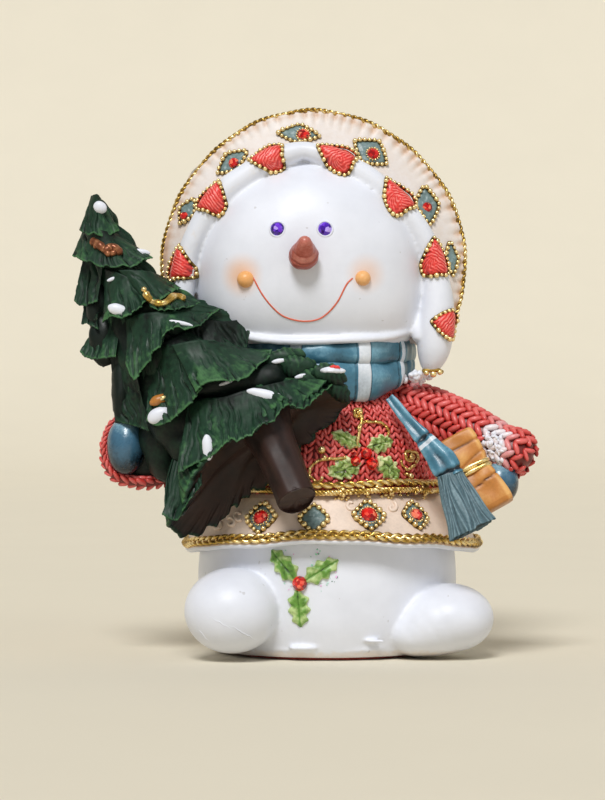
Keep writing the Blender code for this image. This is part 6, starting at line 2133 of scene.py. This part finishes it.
def shape_skirt(form, tier, seed, groove_depth, back=None, root=None):
    """One tier: a grooved, drooping skirt with a thick serrated edge and a hollow underside."""
    front, left_y, right_y, bulge, back_depth, (tx, ty, tz, top_radius) = tier
    length = skirt_edge(front, left_y, right_y, bulge, back_depth, 50, back)[1]
    columns = int(min(400, max(110, length * 3.7)))
    edge, length = skirt_edge(front, left_y, right_y, bulge, back_depth, columns, back)
    rows = int(min(48, max(18, length * 0.45)))
    place = np.arange(columns) / columns * length
    rng = np.random.default_rng(seed)
    spikes = np.interp(place, np.arange(0, length + 2, 1.15),
                       rng.normal(0, 1, len(np.arange(0, length + 2, 1.15))))
    top = np.array([tx, ty, tz])
    middle = edge.mean(0)
    drop = unit(middle - top)
    away = edge - middle
    outward = unit(away - np.outer(away @ drop, drop))
    edge = edge + outward * (0.28 * spikes)[:, None] + drop * (0.32 * np.roll(spikes, 2))[:, None]
    inner = top + outward * top_radius
    control = (inner + edge) / 2 + outward * 0.16 * np.linalg.norm(edge - inner, axis=1)[:, None] - drop * 0.6
    t = np.linspace(0, 1, rows)[:, None, None]
    grid = (1 - t) ** 2 * inner + 2 * t * (1 - t) * control + t ** 2 * edge
    warp = np.array([noise_of(p / 6.0, seed, 0) for p in place])
    t = t[:, :, 0]
    hang = edge @ drop
    window = max(3, int(columns / length * 4.5)) | 1
    padded = np.concatenate([hang[-window:], hang, hang[:window]])
    level = np.convolve(padded, np.ones(window) / window, "same")[window:-window]
    fold = np.clip((hang - level) / 1.3, -1, 1)
    fan = (place + 1.8 * warp)[None] + 1.2 * np.sin(t * 2.5 + warp[None] * 3) * (1 - t)
    uneven = np.array([noise_of(p * 0.45, r * 0.06, seed + 7.0)
                       for r in range(rows) for p in place]).reshape(rows, columns)
    ridge = np.abs(np.sin(math.pi * (fan / 1.35 + 0.5 * uneven))) ** 0.8
    small = np.abs(np.sin(math.pi * (fan / 0.61 + uneven)))
    fade = np.clip(t * 1.6, 0.15, 1.0)
    broad = np.array([noise_of(p / 6.0, 3.0 + seed, r / rows * 1.4)
                      for r in range(rows) for p in place]).reshape(rows, columns)
    amount = (groove_depth * fade * (0.9 * (ridge - 0.7) + 0.45 * (small - 0.6) + 0.8 * uneven)
              + 1.1 * broad * fade + 0.85 * fold[None] * t ** 1.4)
    grid = shift_out(grid, amount)
    # Tone: lighter toward the edge and on the ridges, drybrush and painted highlight; painted shade near the top,
    # under the tier above.
    tone = (0.32 + 0.12 * t + 0.16 * (ridge - 0.55) * fade + 0.10 * (small - 0.5) + 0.22 * broad
            + 0.25 * uneven
            + 0.12 * fold[None] * t + 0.32 * np.clip((t - 0.94) / 0.06, 0, 1)
            - 0.26 * np.clip(1 - t * 2.2, 0, 1))
    lip = [grid[-1] + drop * 0.35 + outward * 0.12, grid[-1] + drop * 0.75 - outward * 0.25,
           grid[-1] + drop * 0.65 - outward * 0.9]
    # Painted highlight on the lip's outer ring, painted shade on the rings under it and in the hollow.
    lip_tone = [np.full(columns, 0.72), np.full(columns, 0.35), np.full(columns, 0.1)]
    if root is None:
        hollow = [middle + (lip[-1] - middle) * s - drop * d for s,
                  d in ((0.8, 0.6), (0.5, 1.4), (0.15, 1.8))]
        form.skin(np.concatenate([grid, lip, hollow]),
                  np.vstack([tone, lip_tone, np.full((3, columns), 0.05)]))
        return
    root = np.asarray(root, float)
    calm = lip[-1].copy()
    for _ in range(40):
        calm = (np.roll(calm, 1, 0) + 2 * calm + np.roll(calm, -1, 0)) / 4
    ring_out = outward * 4.3
    under, under_tone = [], []
    for s in np.linspace(0.06, 1, 26):
        pull = s ** 0.8
        rim = calm + (lip[-1] - calm) * max(0.0, 1 - 5 * s)
        ring = rim * (1 - pull) + (root + ring_out) * pull - drop * (1.5 * math.sin(math.pi * s))
        lumps = 0.35 * wave_noise(ring, 5.0, seed)
        under.append(ring + drop * lumps[:, None] * (1 - s))
        # The underside darkens toward its middle: painted shade.
        under_tone.append(np.clip(0.34 + 0.30 * lumps - 0.12 * math.sin(math.pi * s), 0, 1))
    rings = np.concatenate([grid, lip, under])
    paints = np.r_[np.zeros(rows + 2, int), np.ones(26, int)]
    form.skin(rings, np.vstack([tone, lip_tone, under_tone]), paints)


def through_three(ends, t):
    """The smooth curve through a left, a middle and a right value."""
    return ends[0] * (1 - t) * (1 - 2 * t) + 4 * ends[1] * t * (1 - t) + ends[2] * t * (2 * t - 1)


def from_drawing(points, depths):
    """Points of the front drawing as x and z in mm: what is nearer was drawn larger."""
    points = np.asarray(points, float)
    y = through_three(depths, np.linspace(0, 1, len(points)))
    step = DRAWING_STEP * (EYE_DISTANCE + y) / EYE_DISTANCE
    return np.stack([(points[:, 0] - DRAWING_MIDDLE[0]) * step,
                     EYE_HEIGHT + (DRAWING_MIDDLE[1] - points[:, 1]) * step], -1)


def branch(form, edge, root, near, back, shade, seed, groove_depth):
    """A grooved sheet that flares from its root to a thick serrated edge, hollow below and dark there with painted
    shade.
    """
    edge, root = from_drawing(edge, near), from_drawing(root, np.add(near, back))
    run = run_along(edge)
    columns = int(np.clip(run[-1] * 4.6, 60, 270))
    share = np.linspace(0, 1, columns)
    across = share * run[-1]
    edge = eased(read_at(across, run, edge), 3)
    root = smooth_path(root, columns)
    drop = unit(edge - root)
    window = max(3, columns // 8) | 1
    kernel = np.ones(window) / window

    def averaged(values):
        """A running average along the edge."""
        return np.stack([np.convolve(np.pad(v, window // 2, "edge"), kernel, "valid") for v in values.T], -1)
    drop, level = unit(averaged(drop)), averaged(edge)
    fold = np.clip(np.sum((edge - level) * drop, 1) / 0.9, -1, 1)
    rng = np.random.default_rng(seed)
    places = np.arange(0, run[-1] + 3, 1.3)
    spikes = np.interp(across, places, rng.normal(0, 0.13, len(places)))
    edge = edge + drop * (spikes + 0.04 * np.sin(across * 9))[:, None]
    slope = 1.5 * back / np.linalg.norm(edge - root, axis=1)
    rows = int(np.clip(np.linalg.norm(edge - root, axis=1).mean() * 2.6, 16, 44))
    t = np.linspace(0, 1, rows)[:, None]
    forward = through_three(near, share)
    flat = root[None] * (1 - t[..., None]) + edge[None] * t[..., None]
    y = forward[None] + back * (1 - t ** 1.5) - 0.9 * fold[None] * t ** 2
    grid = np.stack([flat[..., 0], y, flat[..., 1]], -1)
    uneven = wave_noise(grid, 3.0, seed).reshape(rows, columns)
    bend = (across[None] + 1.5 * uneven + 1.6 * (1 - t) ** 2) / 1.6
    which = np.clip(np.round(bend).astype(int), 0, len(places) * 2)
    strength = rng.random(len(places) * 2 + 1)[which]
    start = 0.75 * rng.random(len(places) * 2 + 1)[which]
    grown = np.clip((t - start) / 0.18, 0, 1)
    cut = strength * grown * np.exp(-((bend - np.round(bend)) / 0.13) ** 2)
    fine = np.sin(bend * 17 + 6 * uneven)
    broad = wave_noise(grid, 6.0, seed + 3.0).reshape(rows, columns)
    small = wave_noise(grid, 1.0, seed + 5.0).reshape(rows, columns)
    cut = cut * (1 - 0.45 * np.clip((t - 0.9) / 0.1, 0, 1))
    amount = -groove_depth * 2.4 * cut + 0.05 * fine * t + 0.55 * broad * t + 0.12 * small
    normal = unit(np.cross(np.gradient(grid, axis=0), np.gradient(grid, axis=1)))
    normal *= np.where(normal[..., 1:2] > 0, -1, 1)
    face = grid + normal * amount[..., None]
    # Tone: painted shade in the grooves, near the root and by the branch's own shade; lighter toward the edge and on
    # its lip, drybrush and painted highlight.
    tone = (0.36 + shade + 0.20 * t - 0.34 * cut + 0.05 * fine * t + 0.26 * broad + 0.20 * small
            + 0.14 * fold[None] * t + 0.30 * np.clip((t - 0.95) / 0.05, 0, 1)
            - 0.18 * np.clip(1 - t * 3, 0, 1))
    behind = grid + np.array([0, 1, 0]) * (0.8 + 1.6 * (1 - t))[..., None]
    down = np.stack([drop[:, 0], np.zeros(columns), drop[:, 1]], -1)
    # The lip: a painted highlight on its outer ring, painted shade on the rings that turn under.
    lips, lip_tones = [], []
    for q, fall, light in ((0.0, 0.22, 0.62), (0.35, 0.25, 0.3), (0.36, -0.7, 0.06), (0.42, -1.6, 0.04)):
        tuck = np.array([0, 1, 0]) * (max(0, -fall) * slope + 0.25 * (fall < 0))[:, None]
        lips.append(np.vstack([face[-1] * (1 - q) + behind[-1] * q + down * fall + tuck,
                               (behind[-1] * (1 - q) + face[-1] * q + down * fall + tuck)[::-1]]))
        lip_tones.append(np.full(2 * columns, light + min(shade, 0)))
    rings = np.concatenate([np.concatenate([face, behind[:, ::-1]], axis=1), lips])
    # The back of the sheet is toned dark: painted shade.
    tones = np.vstack([np.hstack([tone, np.full((rows, columns), 0.05)]), lip_tones])
    faces = grid_faces(len(rings), 2 * columns)
    last = (len(rings) - 1) * 2 * columns
    for c in range(columns - 1):
        d, e, f = c + 1, 2 * columns - 2 - c, 2 * columns - 1 - c
        faces += [(d, c, f, e), (last + c, last + d, last + e, last + f)]
    form.add(rings, faces, np.clip(tones, 0, 1))


class SNOWMAN_OT_tree(bpy.types.Operator):
    """Shape the fir tier by tier with its trunk, the garland scraps and the snow on it"""
    bl_idname = "snowman.tree"
    bl_label = "Fir tree"

    def execute(self, context):
        size = sizes()
        form = Form()
        for i, (front, left_y, right_y, bulge, back_depth, top) in enumerate(TIERS[:-1]):
            middle = np.mean(front, 0)
            offset = np.array(front) - middle
            front = middle + offset * np.where(offset > 0, (0.62, 0.8), (0.8, 0.8)) + (0.2, 2.0)
            top = (top[0], top[1] + 2.0, top[2], top[3] * 0.8)
            shape_skirt(form, (front, left_y + 4.0, right_y + 4.0, bulge * 0.35, back_depth, top), 3 + i,
                        size["groove_depth"])
        front, left_y, right_y, bulge, back_depth, top = TIERS[-1]
        front = np.array(front) + (0, 0.9)
        shape_skirt(form, (front, left_y + 2.2, right_y + 2.2, bulge, back_depth, top), 19,
                    size["groove_depth"],
                    LAST_BACK, (-6.2, -28.6, 49.6))
        branches = Form()
        for i, (edge, root, near, back, shade) in enumerate(BRANCHES):
            branch(branches, edge, root, near, back, shade, 61 + i, size["groove_depth"])
        self.core(form)
        # Dark balls of painted shade in the gaps between the branches.
        form.ball((-30.2, -17.6, 46.4), (5.2, 4.6, 7.4), 30, 40, 0.3, 0.12, seed=3.0)
        for place, radii in FILLINGS:
            form.ball(place, radii, 24, 40, 0.2, 0.06, seed=place[0])
        self.side_lobes(form)
        settle(form, "fir_inner", "fir + bark", ("tree",))
        settle(branches, "fir_branches", "fir")
        self.trunk()
        self.snow()
        self.garlands()
        return {"FINISHED"}

    def core(self, form):
        """The dark middle that the tiers grow from: painted shade between them."""
        path = smooth_path([(-43.8, -12.0, 96.0, 1.2), (-42.6, -13.0, 88.0, 3.0), (-39.0, -15.0, 80.0, 5.0),
                            (-35.0, -18.0, 72.0, 7.4), (-31.0, -20.0, 64.0, 9.0), (-27.0, -22.0, 56.0, 10.2),
                            (-22.0, -25.0, 48.0, 9.0), (-18.0, -28.0, 43.0, 6.0)], 70)
        rings = tube_rings(path + (0, 2.5, 0, 0), path[:, 3] * 0.85, 48, flat=0.62)
        amount = 0.8 * wave_noise(rings, 4.0, 9.0).reshape(len(rings), 48)
        form.skin(shift_out(rings, amount), 0.12 + 0.3 * amount)

    def side_lobes(self, form):
        """Small curled branch ends at the right, near the scarf."""
        for x, y, z, length, width, turn, seed in LOBES:
            lobe = Form()
            lobe.ball((0, 0, 0), (length, 2.0, width), 22, 40)
            points = np.vstack(lobe.points)
            groove = np.abs(np.sin(points[:, 0] * 2.6 + points[:, 2] * 1.1 + seed))
            swell = 1 + 0.16 * (groove - 0.6) + 0.22 * wave_noise(points, 2.0, seed)
            points = (points * swell[:, None]) @ spin(turn).T + (x, y, z)
            # Lighter on top and on the ridges: painted highlight; painted shade in the grooves and below.
            tone = 0.28 + 0.35 * (groove - 0.4) + 0.25 * (points[:, 2] - z) / width
            form.add(points, lobe.faces, np.clip(tone, 0, 1))

    def trunk(self):
        """A smooth glossy trunk cut off square."""
        path = smooth_path(TRUNK, 70)
        rings = tube_rings(path, path[:, 3], 56)
        a = circle(56)
        t = np.linspace(0, 1, 70)[:, None]
        amount = (0.12 * np.sin(5 * a + 3 * t) + 0.08 * np.sin(9 * a - 5 * t)
                  + 0.25 * wave_noise(rings, 6.0, 2.0).reshape(70, 56))
        # Lighter where the bark swells, painted shade toward its top under the tiers.
        tone = 0.42 + 0.6 * amount - 0.2 * (1 - t)
        form = Form()
        form.skin(shift_out(rings, amount), tone)
        settle(form, "fir_trunk", "bark", ("tree_trunk",), sharp=60)

    def snow(self):
        """Glossy dabs of white that stand proud of the needles."""
        skin = Skin("fir_inner", "fir_branches")
        form = Form()
        for i, (x, z, half_x, half_z, turn) in enumerate(SNOW_DABS):
            form.ball(skin.front(x, z)[0] + FRONT * 0.1, (half_x, min(half_x, half_z) * 0.75, half_z), 24,
                      36, 0.06,
                      0.62, turn=spin(turn), seed=i)
        settle(form, "tree_snow", "snow")
        self.red_tip(skin)

    def red_tip(self, skin):
        """A branch end capped with red over white."""
        form = Form()
        a = circle(32)
        for half_x, half_z, x, z, height, which in ((2.7, 0.75, 6.4, 62.4, 0.5, 1),
                                                    (1.5, 0.5, 6.9, 62.7, 0.8, 0)):
            outline = np.stack([half_x * np.cos(a), half_z * np.sin(a)], 1)
            place, normal = skin.front(x, z - 0.6)
            laid_patch(form, outline, place, unit(normal + FRONT), skin, height, 7, fall=1.0, paint=which)
        settle(form, "tree_red_tip", "coral + snow")

    def garlands(self):
        """Scraps of garland: a copper one near the tip, a gold one below it and an orange bud."""
        skin = Skin("fir_inner", "fir_branches")
        scraps, bud = {"copper": Form(), "gold": Form()}, Form()
        t = np.linspace(0, 1, 50)
        for points, radius, which in GARLANDS:
            path = eased(skin.trace(smooth_path(points, 50)), 6) + FRONT * radius * 0.5
            ends = np.minimum(1, np.minimum(t, 1 - t) * 14 + 0.3)
            thick = radius * (1.0 + 0.10 * np.sin(t * 23) + 0.05 * np.sin(t * 41)) * ends
            scraps[which].tube(path, thick, 16, 0.5 + 0.2 * np.sin(t * 31)[:, None])
        scraps["gold"].ball(skin.front(-33.6, 78.8)[0] + FRONT * 0.3, (0.62, 0.62, 0.62), 12, 16, tone=0.7)
        place = skin.front(-30.2, 55.4)[0]
        tilt = np.array([[0.92, 0, -0.39], [0, 1, 0], [0.39, 0, 0.92]])
        bud.ball(place + (0.0, 0.1, 0.0), (2.1, 1.3, 1.15), 20, 30, 0.12, 0.45, turn=tilt, seed=4.0)
        bud.ball(place + (0.9, -0.7, 0.4), (1.1, 0.7, 0.55), 14, 20, 0.15, 0.8, 1, tilt, 6.0)
        for which, form in scraps.items():
            settle(form, f"garland_{which}", which)
        settle(bud, "garland_bud", "wrapping + gold")


# ---------------------------------------------------------------- stage
CAMERA_LENS = 122.73
FLOOR_HALF = 6.0
SWEEP_START, SWEEP_RADIUS, SWEEP_TOP = 1.4, 1.2, 7.0
LIGHT_AIM = Vector((0, 0, 0.06))
# Lights: name, kind, place, power, angle of a sun or size of an area
LIGHTS = (("key light", "SUN", (-0.15, -0.70, 0.85), 2.4, 0.35),
          ("fill light", "AREA", (0.80, -0.60, 0.50), 0.8, 0.6))
SKY = (0.93, 0.95, 1.0, 1.0)
SKY_STRENGTH = 0.29


class SNOWMAN_OT_stage(bpy.types.Operator):
    """Set the floor, the backdrop, the camera and the soft lights"""
    bl_idname = "snowman.stage"
    bl_label = "Stage"

    def execute(self, context):
        self.sweep()
        self.camera(context)
        self.lights(context)
        context.scene.view_settings.view_transform = "Standard"
        context.scene.view_settings.look = "None"
        return {"FINISHED"}

    def sweep(self):
        """A large floor that curves up into a far backdrop."""
        bend = math.pi / 2 * np.arange(1, 17) / 16
        profile = [(-FLOOR_HALF, 0.0), (SWEEP_START, 0.0)]
        profile += [(SWEEP_START + SWEEP_RADIUS * math.sin(a), SWEEP_RADIUS * (1 - math.cos(a)))
                    for a in bend]
        profile.append((SWEEP_START + SWEEP_RADIUS, SWEEP_TOP))
        points = [(x, y, z) for y, z in profile for x in (-FLOOR_HALF, FLOOR_HALF)]
        faces = [(i, i + 1, i + 3, i + 2) for i in range(0, len(points) - 2, 2)]
        sweep = linked("paper_sweep", points, [], faces, True)
        sweep.data.materials.append(paint("stage"))
        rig.stage(sweep)

    def camera(self, context):
        """A level camera in front of the figurine."""
        data = bpy.data.cameras.new("camera")
        data.lens = CAMERA_LENS
        data.sensor_width = 36.0
        data.clip_start = 0.01
        camera = bpy.data.objects.new("camera", data)
        camera.location = ((SHIFT[0], SHIFT[1] - EYE_DISTANCE, EYE_HEIGHT) * np.array(MM))
        camera.rotation_euler = (math.pi / 2, 0, 0)
        context.collection.objects.link(camera)
        context.scene.camera = camera

    def lights(self, context):
        """A soft key light from the upper left in front, a small fill and an even sky."""
        for name, kind, place, power, spread in LIGHTS:
            data = bpy.data.lights.new(name, kind)
            data.energy = power
            setattr(data, "angle" if kind == "SUN" else "size", spread)
            light = bpy.data.objects.new(name, data)
            light.location = place
            light.rotation_euler = (LIGHT_AIM - Vector(place)).to_track_quat("-Z", "Y").to_euler()
            context.collection.objects.link(light)
        world = bpy.data.worlds.new("even sky")
        world.use_nodes = True
        background = world.node_tree.nodes["Background"]
        background.inputs["Color"].default_value = SKY
        background.inputs["Strength"].default_value = SKY_STRENGTH
        context.scene.world = world


# ---------------------------------------------------------------- panel and running
PIECES = (SNOWMAN_OT_stage, SNOWMAN_OT_snow_body, SNOWMAN_OT_jumper, SNOWMAN_OT_face, SNOWMAN_OT_cap,
          SNOWMAN_OT_ornaments, SNOWMAN_OT_sprigs, SNOWMAN_OT_scarf, SNOWMAN_OT_arms, SNOWMAN_OT_parcel,
          SNOWMAN_OT_tree)


class SNOWMAN_PT_panel(bpy.types.Panel):
    """Sizes, colours and one button for each piece"""
    bl_idname = "SNOWMAN_PT_panel"
    bl_label = "Snowman"
    bl_space_type = "VIEW_3D"
    bl_region_type = "UI"
    bl_category = "Snowman"

    def draw(self, context):
        layout = self.layout
        for label, group in (("Sizes", context.scene.snowman_sizes),
                             ("Colours", context.scene.snowman_colours)):
            box = layout.box()
            box.label(text=label)
            for key in type(group).__annotations__:
                box.prop(group, key)
        column = layout.column(align=True)
        for piece in PIECES:
            column.operator(piece.bl_idname)


CLASSES = (SnowmanSizes, SnowmanColours, *PIECES, SNOWMAN_PT_panel)


def register():
    """Add the classes and the two groups of settings."""
    for cls in CLASSES:
        bpy.utils.register_class(cls)
    bpy.types.Scene.snowman_sizes = bpy.props.PointerProperty(type=SnowmanSizes)
    bpy.types.Scene.snowman_colours = bpy.props.PointerProperty(type=SnowmanColours)


def unregister():
    """Take them away again."""
    del bpy.types.Scene.snowman_colours
    del bpy.types.Scene.snowman_sizes
    for cls in reversed(CLASSES):
        bpy.utils.unregister_class(cls)


def main():
    """Make every piece in order and write down both boxes."""
    register()
    for piece in PIECES:
        group, name = piece.bl_idname.split(".")
        getattr(getattr(bpy.ops, group), name)()
    boxes = {"plain": [list(corner) for corner in PLAIN_BOX],
             "dressed": [list(corner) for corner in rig.bounds()]}
    with open(SIZE_FILE, "w") as file:
        json.dump(boxes, file)


if __name__ == "__main__":
    main()
